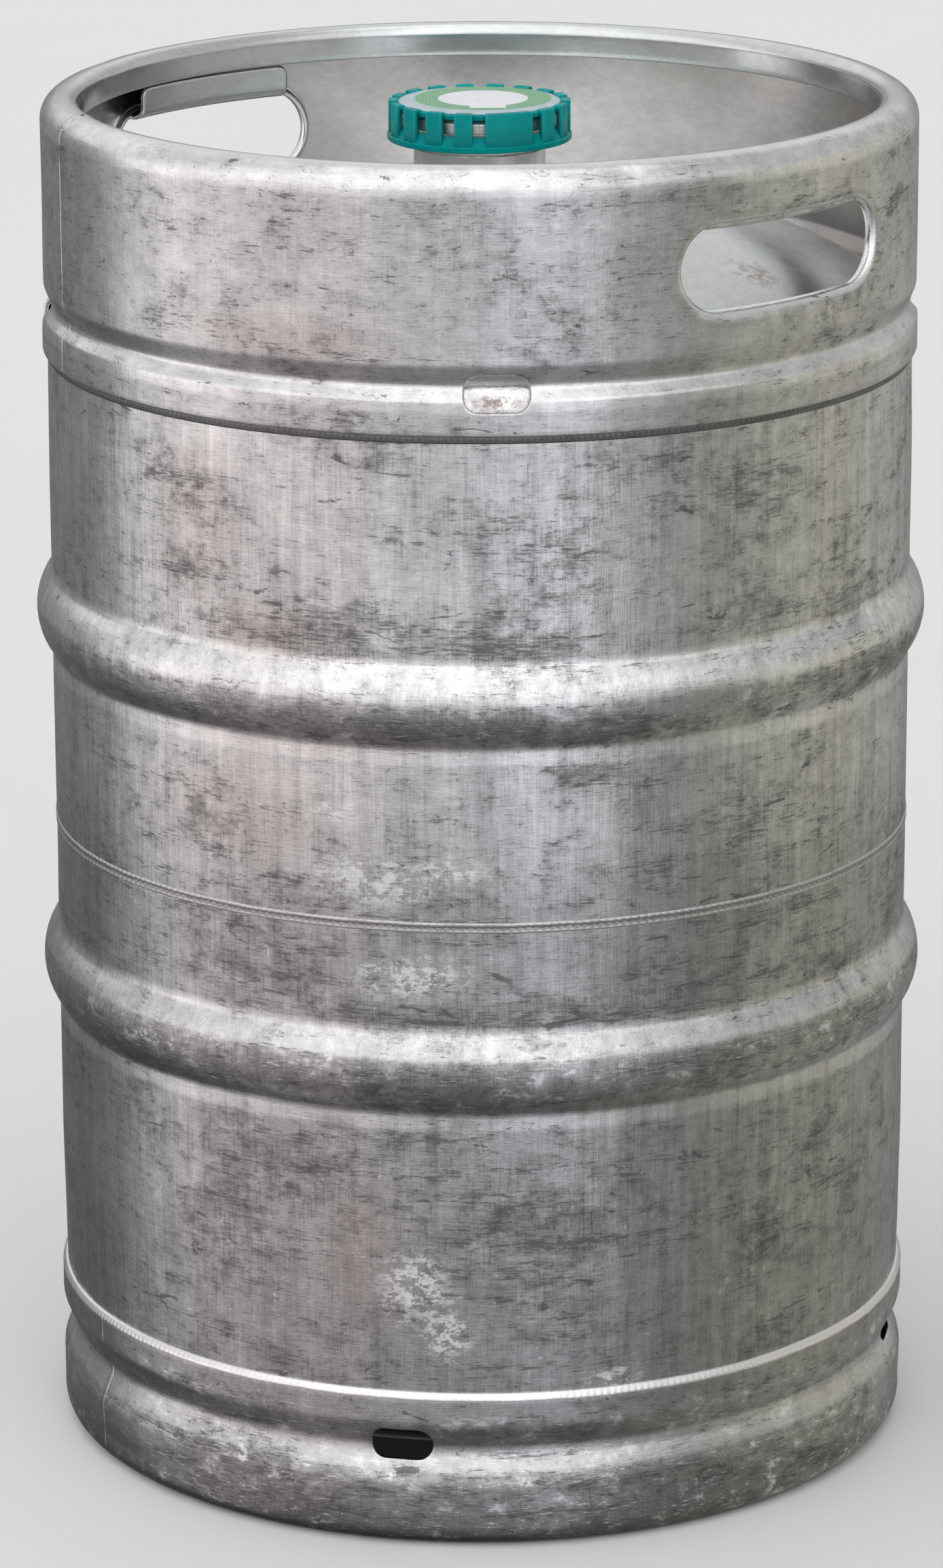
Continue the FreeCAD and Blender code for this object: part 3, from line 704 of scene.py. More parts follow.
def scuff(graph, s, nicks):
    """Dark marks: smudges, ragged flecks, rows of level dashes and a weave of fine scuffs."""
    s.smudge = graph.ramp(s.dirt + (s.grit - 0.5) * 0.25, 0.52, 0.6) * s.outer
    crumbs = s.grit * 0.8 + graph.most(s.level_lines, s.upright_lines) * 0.42
    fleck = graph.ramp(crumbs + s.dirt * 0.66, 1.015, 1.19)
    smear = graph.grain(s.place, 24.0, 7.0, 61.0, 5.0, 0.66, 0.9)
    smear = graph.ramp(smear + s.dirt * 0.3, 0.795, 0.835)
    upright = graph.ramp(s.upright_lines + s.dirt * 0.9, 1.05, 1.18)
    level = graph.ramp(s.level_lines + s.dirt * 0.9, 1.065, 1.19)
    row = graph.grain(s.place, 70.0, 5.0, 79.0, 2.0, 0.5)
    dashes = graph.ramp(s.dash + row * 0.6 + s.dirt * 0.75, 1.3, 1.385)
    woven = graph.most(upright * 0.48, level * 0.68, dashes * 0.9)
    s.marks = graph.most(fleck, smear, woven) * (s.outer * (1.0 - s.lip))
    if nicks:
        leaning = graph.vector("ADD", s.place, graph.leaned(s.height, 0.9))
        deep = graph.grain(leaning, 9.0, 2.4, 53.0, 3.0, 0.6, 0.5)
        s.marks = graph.most(s.marks, graph.ramp(deep + s.dirt * 0.25, 0.8, 0.835) * s.outer)


def scratch(graph, s):
    """Wandering hairlines of dirt, and bright scratches and scrapes."""
    hair = graph.grain(s.place, 42.0, 7.0, 23.0, 3.0, 0.62, 0.8)
    steep = graph.grain(s.place, 11.0, 24.0, 29.0, 2.0, 0.5, 0.8)
    s.dirt_line = graph.ramp(abs(hair - 0.47), 0.005, 0.0)
    s.dirt_line = s.dirt_line * (graph.ramp(s.mottle, 0.46, 0.53) * s.outer)
    fine = graph.most(graph.ramp(abs(steep - 0.5), 0.003, 0.0), graph.ramp(abs(hair - 0.56), 0.003, 0.0))
    fine = fine * graph.ramp(s.mottle, 0.49, 0.42)
    knocked_round = graph.most(s.crest, s.footed)
    scraped = graph.ramp(s.dash, 0.39, 0.32) * (knocked_round * 0.85 + 0.12)
    scraped = graph.most(scraped, graph.ramp(s.mottle, 0.44, 0.33) * knocked_round)
    s.bright_line = graph.most(fine, graph.ramp(s.grit, 0.3, 0.255), scraped) * s.outer


def stain(graph, s):
    """Patches in chosen places: chalky dust, brown stains and rust."""
    s.chalk = spots(graph, s, CHALK_SPOTS, s.wobble) * (graph.ramp(s.patchy, 0.52, 0.6) * s.outer)
    s.stain = spots(graph, s, STAIN_SPOTS, s.wobble)
    head_rust = spot_share(graph, s.place, *HEAD_RUST, 0.0, HEAD_RUST_R) * s.head
    s.rust = graph.most(spots(graph, s, RUST_SPOTS, 0.0), head_rust) * graph.ramp(s.patchy, 0.5, 0.62)


def steel_colour(graph, s, streaks):
    """The sheet's own grey, streaked and mottled, darker towards the bottom, with every mark laid over it,
    and with painted shade and painted highlights in set places.
    """
    tone = 0.59 + (s.cloud - 0.5) * -0.52
    for noise, amount in ((s.mottle, -0.46), (s.grit, -0.36), (s.flow, 0.75 * streaks),
                          (s.upright_lines, -0.34 * streaks), (s.level_lines, -0.2)):
        tone = tone + (noise - 0.5) * amount
    # Darker towards the bottom of the keg, most in its lowest 24 mm.
    foot = graph.ramp(s.height, 0.024, 0.012) + graph.ramp(s.height, 0.155, 0.1) * 0.4
    # Darker towards the bottom: painted shade for the darker floor reflected low on the wall, partly dirt;
    # the highlight bands are spared.
    tone = tone * (1.0 - (s.low - s.clean) * 0.3)
    tone = graph.math("MULTIPLY", tone, 1.0 - foot * 0.28, clamp=True)
    inside = 0.62 + s.head * 0.12 + (s.cloud - 0.5) * -0.3 + (s.grit - 0.5) * -0.35
    # Inner faces almost black low down: painted shade inside the keg, seen through the lower drains.
    inside = inside * (1.0 - s.low * 0.93)
    base = graph.colour(graph.between(s.outer, inside, tone), grey(0.0), grey(1.0, 0.006))
    for share, tint in ((1.0 - s.outer, (1.0, 0.975, 0.955)), (s.head, (0.94, 1.01, 1.03))):
        base = graph.colour(share, base, graph.vector("MULTIPLY", base, tint))
    # Among these layers, the dark on the hoops' lower sides and on the handholes' cut edges is painted
    # shade, and the light on the highlight bands and the handholes' turned-in lips is painted highlight.
    layers = [(s.smudge, 0.26, grey(0.22, 0.03)), (s.crest, 0.32, grey(0.2, 0.02)),
              (s.stain, 0.22, (0.42, 0.29, 0.25, 1.0)), (s.clean, 0.14, grey(0.8)),
              (s.lip, 0.75, grey(0.95)), (s.marks, 0.74, grey(0.075, 0.03)),
              (s.dirt_line, 0.66, grey(0.09, 0.06)), (s.bright_line, 0.6, grey(0.95)),
              (s.chalk, 0.7, grey(0.8, 0.01)), (s.cut_edge, 0.75, grey(0.07, 0.1)),
              (s.rust, 0.62, (0.23, 0.095, 0.055, 1.0))]
    for share, amount, paint in layers:
        base = graph.colour(share * amount, base, paint)
    return base


def worn_steel(name, wear=0.0, streaks=1.0, nicks=False):
    """Old satin stainless sheet: mottled, streaked, smudged, scuffed in fine marks, stained and dusty."""
    material, graph, shader, place = new_material(name)
    s = SimpleNamespace(place=place, height=graph.split(place)[2])
    find_faces(graph, s)
    lay_grain(graph, s)
    find_dirt_and_painted_light(graph, s, wear)
    scuff(graph, s, nicks)
    scratch(graph, s)
    stain(graph, s)
    dull = graph.most(s.chalk, s.rust) * 0.75 + s.marks * 0.15
    graph.feed(shader.inputs["Metallic"], graph.math("SUBTRACT", 1.0, dull, clamp=True))
    rough = 0.235 + (s.cloud - 0.45) * 0.3 + (s.mottle - 0.5) * 0.16 + (s.marks + s.smudge) * 0.08
    rough = rough - s.clean * 0.06 - s.lip * 0.07 + s.chalk * 0.25
    relief = s.upright_lines * (0.4 * streaks) + s.mottle + s.flow * (0.9 * streaks) + s.dash * 0.55
    relief = relief * (s.outer * 0.85 + 0.15)
    dress(graph, shader, steel_colour(graph, s, streaks), rough, relief, 0.00026, 0.6)
    return material


def plain_steel(name, level, rough, line=0.35):
    """Machined or drawn stainless that is only lightly marked."""
    material, graph, shader, place = new_material(name)
    cloud = graph.grain(place, 9.0, 7.0, 0.0, 4.0, 0.6)
    turning = graph.grain(place, 14.0, line, 3.0, 3.0, 0.65)
    speck = graph.ramp(graph.grain(place, 1.6, 1.6, 5.0, 4.0, 0.7), 0.6, 0.7)
    base = graph.colour(graph.ramp(cloud, 0.3, 0.7), grey(level * 0.85, 0.015), grey(level, 0.01))
    base = graph.colour(speck * 0.6, base, grey(0.2, 0.05))
    shader.inputs["Metallic"].default_value = 1.0
    rough = graph.ramp(cloud, 0.3, 0.7, rough + 0.06, rough - 0.05)
    dress(graph, shader, base, rough, turning * 0.6 + speck * 0.5, 0.00008, 0.6)
    return material


def weld_steel(name, valley, top, rough):
    """A weld bead: bright crests, heat-tinted and dirty valleys."""
    material, graph, shader, place = new_material(name)
    geometry = graph.node("ShaderNodeNewGeometry")
    crest = graph.ramp(geometry.outputs["Pointiness"], 0.48, 0.53)
    cloud = graph.grain(place, 12.0, 4.0, 0.0, 4.0, 0.6)
    fine = graph.grain(place, 0.9, 0.7, 3.0, 3.0, 0.6)
    base = graph.colour(crest, grey(valley, 0.03), grey(top, 0.01))
    base = graph.colour(graph.ramp(cloud, 0.5, 0.75) * 0.4, base, grey(valley, 0.04))
    shader.inputs["Metallic"].default_value = 1.0
    rough = graph.ramp(cloud, 0.3, 0.7, rough - 0.05, rough + 0.08)
    dress(graph, shader, base, rough, fine, 0.00015, 0.7)
    return material


def cap_plastic(name):
    """Moulded polypropylene, satin, with dust, dull patches and pale scratches."""
    material, graph, shader, place = new_material(name)
    geometry = graph.node("ShaderNodeNewGeometry")
    cloud = graph.grain(place, 14.0, 9.0, 0.0, 4.0, 0.6)
    fine = graph.grain(place, 0.7, 0.7, 3.0, 2.0, 0.6)
    line = graph.ramp(abs(graph.grain(place, 9.0, 2.5, 5.0, 1.5, 0.5, 0.8) - 0.5), 0.006, 0.0)
    line = line * graph.ramp(cloud, 0.5, 0.6)
    wear = graph.ramp(geometry.outputs["Pointiness"], 0.53, 0.60)
    base = graph.colour(graph.ramp(cloud, 0.35, 0.65), (0.0, 0.235, 0.238, 1.0), (0.0, 0.300, 0.300, 1.0))
    base = graph.colour(wear * 0.5, base, (0.03, 0.52, 0.51, 1.0))
    base = graph.colour(line * 0.4, base, (0.25, 0.6, 0.6, 1.0))
    dust = graph.ramp(graph.grain(place, 2.2, 2.2, 9.0, 5.0, 0.7), 0.6, 0.75) * 0.06
    base = graph.colour(dust, base, (0.35, 0.62, 0.62, 1.0))
    shader.inputs["Specular IOR Level"].default_value = 0.06
    rough = graph.ramp(cloud, 0.3, 0.7, 0.22, 0.32) + dust * 0.5
    dress(graph, shader, base, rough, fine - line, 0.00008, 0.6)
    return material


def label_film(name):
    """A pale film with a green ring of fine lines, a little off centre, round a white middle and panel."""
    material, graph, shader, place = new_material(name)
    flat_place = graph.vector("MULTIPLY", place, (1.0, 1.0, 0.0))
    shifted = graph.vector("SUBTRACT", flat_place, (-0.0025, 0.0045, 0.0))
    radius = graph.vector("LENGTH", shifted)
    cloud = graph.grain(place, 8.0, 8.0, 0.0, 4.0, 0.6)
    wavy = radius + (cloud - 0.5) * 0.0016
    rings = graph.math("FRACT", wavy * 760.0)
    fine_line = graph.ramp(abs(rings - 0.5), 0.2, 0.34)
    green = graph.colour(fine_line, (0.070, 0.310, 0.120, 1.0), (0.26, 0.52, 0.31, 1.0))
    film = graph.colour(graph.ramp(cloud, 0.35, 0.65), (0.40, 0.52, 0.58, 1.0), (0.52, 0.62, 0.68, 1.0))
    inside = graph.ramp(radius, 0.0194, 0.0190)
    ring = graph.ramp(radius, 0.0296, 0.0292) * (1.0 - inside)
    base = graph.colour(ring, film, green)
    white = graph.colour(graph.ramp(cloud, 0.4, 0.7), (0.86, 0.88, 0.91, 1.0), (0.76, 0.78, 0.82, 1.0))
    a = math.radians(CAMERA_AZIMUTH)
    across = graph.vector("DOT_PRODUCT", shifted, (math.cos(a), math.sin(a), 0.0))
    along = graph.vector("DOT_PRODUCT", shifted, (math.sin(a), -math.cos(a), 0.0))
    wide = graph.ramp(abs(across - 0.002), 0.0078, 0.0076)
    deep = graph.ramp(abs(along - 0.02), 0.0036, 0.0034)
    base = graph.colour(graph.most(inside, wide * deep), base, white)
    speck = graph.ramp(graph.grain(place, 1.8, 1.8, 5.0, 4.0, 0.7), 0.64, 0.7)
    base = graph.colour(speck * 0.5, base, (0.3, 0.29, 0.27, 1.0))
    crease = graph.grain(place, 5.0, 5.0, 7.0, 2.0, 0.5, 1.2)
    dress(graph, shader, base, graph.ramp(cloud, 0.3, 0.7, 0.28, 0.42), crease, 0.0003, 0.4)
    return material


def dull_rubber(name):
    """Black rubber with a greasy bloom."""
    material, graph, shader, place = new_material(name)
    cloud = graph.grain(place, 6.0, 6.0, 0.0, 4.0, 0.6)
    fine = graph.grain(place, 0.6, 0.6, 3.0, 2.0, 0.6)
    share = graph.ramp(cloud, 0.35, 0.7)
    base = graph.colour(share, (0.012, 0.012, 0.013, 1.0), (0.045, 0.044, 0.042, 1.0))
    dress(graph, shader, base, graph.ramp(cloud, 0.3, 0.7, 0.50, 0.68), fine, 0.00008, 0.5)
    return material


SHELL_STEEL = worn_steel("worn_shell_steel")
CHIME_STEEL = worn_steel("worn_chime_steel", -0.025, 0.45, True)
# Painted shade: a near-black copy of the weld steel for the bead in the shadow under the top chime.
DARK_WELD = weld_steel("dark_weld_steel", 0.07, 0.24, 0.48)
GREY_WELD = weld_steel("grey_weld_steel", 0.26, 0.60, 0.42)
# Painted highlight: a pale, smooth copy of the weld steel for the lit top of the bead above the bottom
# chime.
BRIGHT_WELD = weld_steel("bright_weld_steel", 0.70, 0.88, 0.26)
FITTING_STEEL = plain_steel("fitting_steel", 0.80, 0.28)
# Painted highlight: a paler copy of the fitting steel, for the flange's highlight seen through the cap's
# windows.
FLANGE_STEEL = plain_steel("flange_steel", 0.95, 0.40)
SPRING_STEEL = plain_steel("spring_steel", 0.55, 0.26)
CAP_GREEN = cap_plastic("cap_green_plastic")
LABEL = label_film("cap_label_film")
RUBBER = dull_rubber("valve_rubber")


# --- vessel -------------------------------------------------------------------------
def hoop_line(z):
    """The hoop as a path: root fillets and a round crest that just reaches HOOP_R."""
    root, crest = 6.0, 25.0
    fall = crest - (HOOP_R - WALL_R)
    slope = math.asin(crest / math.hypot(HOOP_HALF, fall)) - math.atan2(fall, HOOP_HALF)
    peak = WALL_R + HOOP_HALF * math.tan(slope)
    return [(WALL_R, z - HOOP_HALF, root), (peak, z, crest), (WALL_R, z + HOOP_HALF, root)]


def dome(neck_r, shoulder_r, knuckle_z, knuckle_r, crown_r, up):
    """Points of a dished end, from the knuckle's start to neck_r."""
    centre_r = shoulder_r - knuckle_r
    drop = math.sqrt((crown_r - knuckle_r) ** 2 - centre_r ** 2)
    meet = math.atan2(centre_r, drop)
    points = []
    for a in np.linspace(0.0, math.pi / 2.0 - meet, 15):
        points.append((centre_r + knuckle_r * math.cos(a), knuckle_r * math.sin(a)))
    last = math.asin(neck_r / crown_r)
    for a in np.linspace(meet, last, 70)[1:]:
        points.append((crown_r * math.sin(a), crown_r * math.cos(a) - drop))
    sign = 1.0 if up else -1.0
    return [np.array((r, knuckle_z + sign * z)) for r, z in points]


def shell(name, line, node):
    """One half of the vessel, pressed from sheet, whose outer face is line."""
    loop, _ = sheet_loop(spaced(line, 2.2), SHELL_T)
    skin = Skin()
    skin.rows(lathe_rows(skin, loop, SHELL_COLUMNS), closed_rows=True)
    return keg_steel(name, skin, node, SHELL_STEEL)


def upper_shell():
    wall = [(WALL_R, MIDDLE_WELD_Z, 0.0)] + hoop_line(HOOP_ZS[1])
    wall += [(WALL_R, 450.0, 600.0), (*TOP_SHOULDER, 0.0)]
    head = dome(28.4, *TOP_SHOULDER, 24.0, 350.0, True)
    return shell("upper_shell_skin", list(rounded(wall)) + head[1:], "upper_shell")


def lower_shell():
    base = dome(3.0, *BOTTOM_SHOULDER, 30.0, 650.0, False)[::-1]
    wall = [(*BOTTOM_SHOULDER, 0.0), (WALL_R, 128.0, 600.0)]
    wall += hoop_line(HOOP_ZS[0]) + [(WALL_R, MIDDLE_WELD_Z, 0.0)]
    return shell("lower_shell_skin", base + list(rounded(wall))[1:], "lower_shell")


# Each weld bead: node, radius and height of its foot, height and pitch of its ripples, material, and a
# section that lists how far out and up the outline goes from the foot and the share of the ripple there.
WELDS = [
    # A double bead with a valley between its ridges.
    ("middle_weld", WALL_R - 0.12, MIDDLE_WELD_Z, 0.28, 3.4, GREY_WELD,
     [(-1.0, -2.3, 0.0), (0.0, -2.3, 0.0), (0.35, -1.9, 0.5), (0.55, -1.45, 1.0), (0.40, -0.9, 0.6),
      (0.12, -0.2, 0.2), (0.14, 0.4, 0.3), (0.45, 1.0, 0.8), (0.62, 1.6, 1.0), (0.40, 2.1, 0.7),
      (0.0, 2.5, 0.3), (-1.0, 2.5, 0.0)]),
    # A flat bead in the step under the top chime, its near-black steel painted shade for the shadow under
    # the chime's edge.
    ("top_chime_weld", WALL_R + 0.1, TOP_WELD_Z, 0.18, 2.6, DARK_WELD,
     [(-2.0, -3.0, 0.0), (-0.4, -3.0, 0.1), (0.0, -2.3, 0.6), (0.25, -1.2, 1.0), (0.35, -0.1, 1.0),
      (0.2, 0.9, 0.5), (-2.0, 1.0, 0.0)]),
    # A round bead above the bottom chime, in pale smooth steel as a painted highlight on its lit top.
    ("bottom_chime_weld", WALL_R - 0.35, BOTTOM_WELD_Z, 0.12, 3.0, BRIGHT_WELD,
     [(-2.0, -1.6, 0.0), (0.0, -1.6, 0.1), (1.2, -1.3, 0.6), (1.6, -0.8, 1.0), (1.45, 0.0, 1.0),
      (1.05, 0.9, 0.9), (0.6, 1.7, 0.6), (0.1, 2.4, 0.2), (-2.0, 2.5, 0.0)]),
]


def weld_bead(node, foot_r, z, ripple, pitch, material, section):
    """A weld bead round the keg."""
    count = int(2.0 * math.pi * foot_r / pitch)
    columns = count * 7
    angles = 2.0 * math.pi * np.arange(columns) / columns
    skin = Skin()
    rows = []
    for out, up, weight in section:
        phase = angles * count + weight * 1.4
        wave = ripple * weight * (np.abs(np.sin(phase / 2.0)) - 1.0)
        wander = 0.16 * weight * np.sin(angles * 31.0 + 1.0) + 0.10 * weight * np.sin(angles * 83.0)
        r = foot_r + out + wave
        level = z + up + wander * 0.6
        rows.append(skin.add(np.stack((r * np.cos(angles), r * np.sin(angles), level), axis=1)))
    skin.rows(rows, closed_rows=True)
    return keg_steel(node + "_bead", skin, node, material)


# --- chimes -------------------------------------------------------------------------
TOP_CHIME_CORNERS = [(188.2, 483.6, 0.0), (188.2, 497.6, 3.2), (183.9, 502.5, 3.0), (187.5, 511.5, 6.0),
                     (187.5, 592.0, 10.0), (171.0, 592.0, 5.0), (171.0, 578.5, 0.0)]
BOTTOM_CHIME_CORNERS = [(170.0, 12.0, 0.0), (170.0, 0.0, 5.0), (187.5, 0.0, 10.0), (187.5, 29.0, 8.0),
                        (182.6, 41.0, 7.0), (182.6, 44.5, 7.0), (187.5, 55.0, 8.0), (187.5, 66.6, 0.0)]
# The drain slots: height of the middle, width, height of the slot, corner radius.
TOP_DRAIN = (500.1, 27.0, 15.0, 6.4)
BOTTOM_DRAIN = (45.4, 26.5, 14.0, 6.5)

# The folds above the handholes. GRIP_FACE_R is the face towards the keg's axis, GRIP_R the sheet's middle.
GRIP_START_R = 183.4
GRIP_FACE_R = 176.65
GRIP_R = 177.6
GRIP_HALF_ANGLE = 14.25
GRIP_TOP = 576.0
GRIP_CORNER = 5.0
GRIP_T = 1.88
GRIP_STRAIGHT_Z = 566.0


def chime_line(corners):
    """A chime's outer face, from one edge to the other."""
    return rounded(corners, 1.7, 9.0)


def add_grip(skin, angle):
    """The fold above a handhole that a hand lifts by: in from the edge, then up."""
    start_z = HANDHOLE_Z + HANDHOLE_RADIUS + 0.08
    corners = [(GRIP_START_R, start_z, 0.0), (GRIP_FACE_R, start_z, 4.0), (GRIP_FACE_R, GRIP_TOP, 0.0)]
    line = rounded(corners, 1.2, 8.0)
    normals = outward(line)
    half = math.radians(GRIP_HALF_ANGLE) * GRIP_R
    edge_steps = (0.0, 0.35, 1.0, 2.0, 3.4, 5.0)
    offsets = [-half + s for s in edge_steps] + list(np.linspace(-half + 7.0, half - 7.0, 56))
    offsets += [half - s for s in edge_steps[::-1]]
    rings = []
    for side in offsets:
        inset = half - abs(side)
        cut = 0.0
        if inset < GRIP_CORNER:
            cut = GRIP_CORNER - math.sqrt(GRIP_CORNER ** 2 - (GRIP_CORNER - inset) ** 2)
        level = line[:, 1].copy()
        above = level > GRIP_STRAIGHT_Z
        stretch = (GRIP_TOP - cut - GRIP_STRAIGHT_Z) / (GRIP_TOP - GRIP_STRAIGHT_Z)
        level[above] = GRIP_STRAIGHT_Z + (level[above] - GRIP_STRAIGHT_Z) * stretch
        half_t = GRIP_T * 0.5 * math.sqrt(max(0.03, 1.0 - max(0.0, 1.0 - inset) ** 2))
        middle = np.stack((line[:, 0], level), axis=1) + normals * GRIP_T * -0.5
        tip = middle[-1] + np.array((0.0, 0.9 * half_t))
        loop = np.concatenate((middle + normals * half_t, [tip], (middle - normals * half_t)[::-1]))
        rings.append(skin.add(turned(loop, side / GRIP_R + math.radians(angle))))
    skin.capped(rings)


def top_chime():
    holes = [handhole(a) for a in HANDHOLE_ANGLES] + [drain(a, *TOP_DRAIN) for a in TOP_DRAIN_ANGLES]
    skin = ring_sheet(chime_line(TOP_CHIME_CORNERS), CHIME_COLUMNS, holes)
    for angle in HANDHOLE_ANGLES:
        add_grip(skin, angle)
    return keg_steel("top_chime_skin", skin, "top_chime", CHIME_STEEL)


def bottom_chime():
    holes = [drain(a, *BOTTOM_DRAIN) for a in BOTTOM_DRAIN_ANGLES]
    skin = ring_sheet(chime_line(BOTTOM_CHIME_CORNERS), CHIME_COLUMNS, holes)
    return keg_steel("bottom_chime_skin", skin, "bottom_chime", CHIME_STEEL)


def chime_seam(name, corners, angle, node):
    """The vertical weld of a rolled-up chime: a low strip that follows its outer face."""
    step = 0.7
    line = spaced(chime_line(corners), step)
    normals = outward(line)
    ripple = 0.03 * np.sin(np.arange(len(line)) * step * 2.1)
    profile = [(-1.5, -0.5), (-1.4, 0.02), (-0.9, 0.09), (0.0, 0.12), (0.9, 0.09), (1.4, 0.02), (1.5, -0.5)]
    skin = Skin()
    columns = []
    for side, out in profile:
        lift = out + ripple if out > 0.1 else np.full(len(line), out)
        at = line + normals * lift[:, None]
        at[:, 1] = np.clip(at[:, 1], 0.0, HEIGHT)
        columns.append(skin.add(turned(at, math.radians(angle) + side / CHIME_R)))
    skin.rows(columns, closed_rows=True, closed_columns=False)
    skin.polygons += [[int(c[0]) for c in columns], [int(c[-1]) for c in columns[::-1]]]
    return keg_steel(name, skin, node, CHIME_STEEL)


# --- fitting and cap ----------------------------------------------------------------
def neck():
    section = bevelled([(23.5, 544.5), (28.2, 544.5), (28.2, 568.0), (23.5, 568.0)], 0.7, 1.5)
    return make_piece("neck_boss", turned_solid(section), "keg", ["neck"], FITTING_STEEL)


def spear_body():
    """The fitting that screws into the neck, with the flat flange that a coupler grips."""
    section = bevelled([(20.5, 549.0, 0.5), (23.4, 549.0, 0.5), (23.4, 566.1, 0.3), (27.0, 566.2, 0.5),
                        (27.0, 577.8, 0.5), (34.2, 577.8, 0.8), (34.2, 582.6, 0.5), (32.9, 584.0, 0.5),
                        (15.5, 584.0, 1.0), (15.5, 580.0, 0.8), (20.5, 580.0, 0.3)], 0.5, 2.0)
    skin = turned_solid(section)
    return make_piece("spear_fitting", skin, "keg", ["spear_body"], FLANGE_STEEL)


def cap_bar(skin, centre, half_angle):
    """One bar of the cap's ring, with rounded edges: outer and inner faces follow the ring."""
    foot, head = 573.0, 587.75
    outer_r, inner_r = 38.9, 36.4
    soft = 0.55
    slight = soft * 0.29
    columns = max(6, int(half_angle * 1.2))
    half = math.radians(half_angle)
    edge = soft / outer_r
    spread = [-half, -half + edge * 0.3, -half + edge]
    spread += list(np.linspace(-half + edge * 2, half - edge * 2, columns))
    spread += [half - edge, half - edge * 0.3, half]
    insets = [soft, slight, 0.0] + [0.0] * columns + [0.0, slight, soft]
    rings = []
    for turn, inset in zip(spread, insets):
        out = outer_r - inset
        into = inner_r - 1.5
        top = head - inset
        section = [(inner_r, foot), (out, foot), (out, top - soft), (out - slight, top - slight),
                   (out - soft, top), (into + 0.4, top), (into, top - 0.3), (into, top - 2.2),
                   (inner_r, top - 2.4)]
        rings.append(skin.add(turned(section, math.radians(centre) + turn)))
    skin.capped(rings)


def claw(skin, centre):
    """A small hook inside the cap that grips under the fitting's flange."""
    section = [(33.5, 573.6), (34.9, 572.1), (36.6, 572.1), (36.6, 576.6), (33.5, 576.6)]
    angles = np.radians(centre + np.linspace(-6.0, 6.0, 7))
    skin.capped([skin.add(turned(section, angle)) for angle in angles])


def security_cap():
    """The push-fit cap: foot ring, bars with windows between them, and the disc they carry."""
    foot = bevelled([(36.2, 571.0, 0.3), (39.5, 571.0, 0.7), (39.5, 573.4, 0.7), (38.5, 574.0, 0.4),
                     (36.5, 577.6, 0.4), (36.2, 577.6, 0.2)], 0.4, 2.0)
    skin = turned_solid(foot, 288)
    disc = bevelled([(0.01, 584.5, 0.0), (34.0, 584.5, 0.4), (36.3, 584.6, 0.4), (36.3, 586.6, 0.5),
                     (34.6, 587.0, 0.2), (0.01, 587.0, 0.0)], 0.3, 3.0)
    disc = turned_solid(disc, 288)
    first = skin.add(disc.points())[0]
    skin.quads += [quads + first for quads in disc.quads]
    skin.polygons += [[int(i + first) for i in polygon] for polygon in disc.polygons]
    cap_bar(skin, CAP_WIDE_BAR_ANGLE, 15.9)
    for i in range(1, 17):
        cap_bar(skin, CAP_WIDE_BAR_ANGLE + 10.0 + 20.0 * i, 5.9)
    for i in range(6):
        claw(skin, CAP_WIDE_BAR_ANGLE + 60.0 * i + 10.0)
    return make_piece("security_cap_moulding", skin, "cap", ["security_cap"], CAP_GREEN)


def cap_label():
    low, high = 587.02, 587.14
    section = [(0.01, low), (34.4, low), (34.5, (low + high) / 2.0), (34.4, high)]
    section += [(r, high) for r in np.linspace(32.0, 2.0, 12)] + [(0.01, high)]
    skin = turned_solid(section, 192)
    return make_piece("cap_label_sticker", skin, "cap", ["cap_label"], LABEL)


def gas_valve():
    section = bevelled([(9.0, 574.8, 0.4), (18.5, 574.8, 0.8), (18.5, 579.6, 0.8), (14.8, 579.7, 0.4),
                        (14.8, 583.4, 1.2), (9.0, 583.4, 0.8)], 0.5, 2.0)
    skin = turned_solid(section)
    return make_piece("gas_valve_rubber", skin, "extractor", ["gas_valve"], RUBBER)


def helix(radius, wire, turns, low, high):
    """A coil spring with a tube of wire, its end turns closed."""
    closed_turns = 0.75
    around = np.radians(np.arange(12) * 30.0)
    total = turns + 2.0 * closed_turns
    count = int(total * 40)
    share = np.arange(count + 1) / count * total
    pitch = (high - low - 2.0 * wire) / turns
    level = low + wire + np.clip(share - closed_turns, 0.0, turns) * pitch
    skin = Skin()
    section = np.stack((radius + wire * np.cos(around), wire * np.sin(around)), axis=1)
    skin.capped([skin.add(turned(section + (0.0, z), a)) for a, z in zip(share * 2.0 * math.pi, level)])
    return skin


def finish_node(node, material):
    """A CAD node that keeps its own mesh gets a finished material."""
    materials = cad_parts[node].data.materials
    materials.clear()
    materials.append(material)


# --- studio -------------------------------------------------------------------------
# The studio's brightness by direction. Azimuths are degrees round from the camera's side, to the right.
HORIZON = [(-180, 0.20), (-150, 0.22), (-122, 0.25), (-112, 0.38), (-103, 0.78), (-88, 1.04), (-74, 0.98),
           (-60, 0.80), (-40, 0.86), (-20, 0.74), (0, 0.72), (14, 0.94), (24, 0.92), (36, 0.50), (46, 0.42),
           (60, 0.33), (72, 0.40), (82, 0.50), (100, 0.50), (120, 0.47), (140, 0.46), (160, 0.30),
           (180, 0.20)]
SKY = [(-180, 0.85), (-120, 0.80), (-100, 0.72), (-80, 0.98), (-60, 1.18), (-40, 1.28), (0, 1.32),
       (22, 1.42), (40, 0.95), (60, 0.76), (80, 0.55), (100, 0.50), (120, 0.54), (140, 0.50), (180, 0.85)]
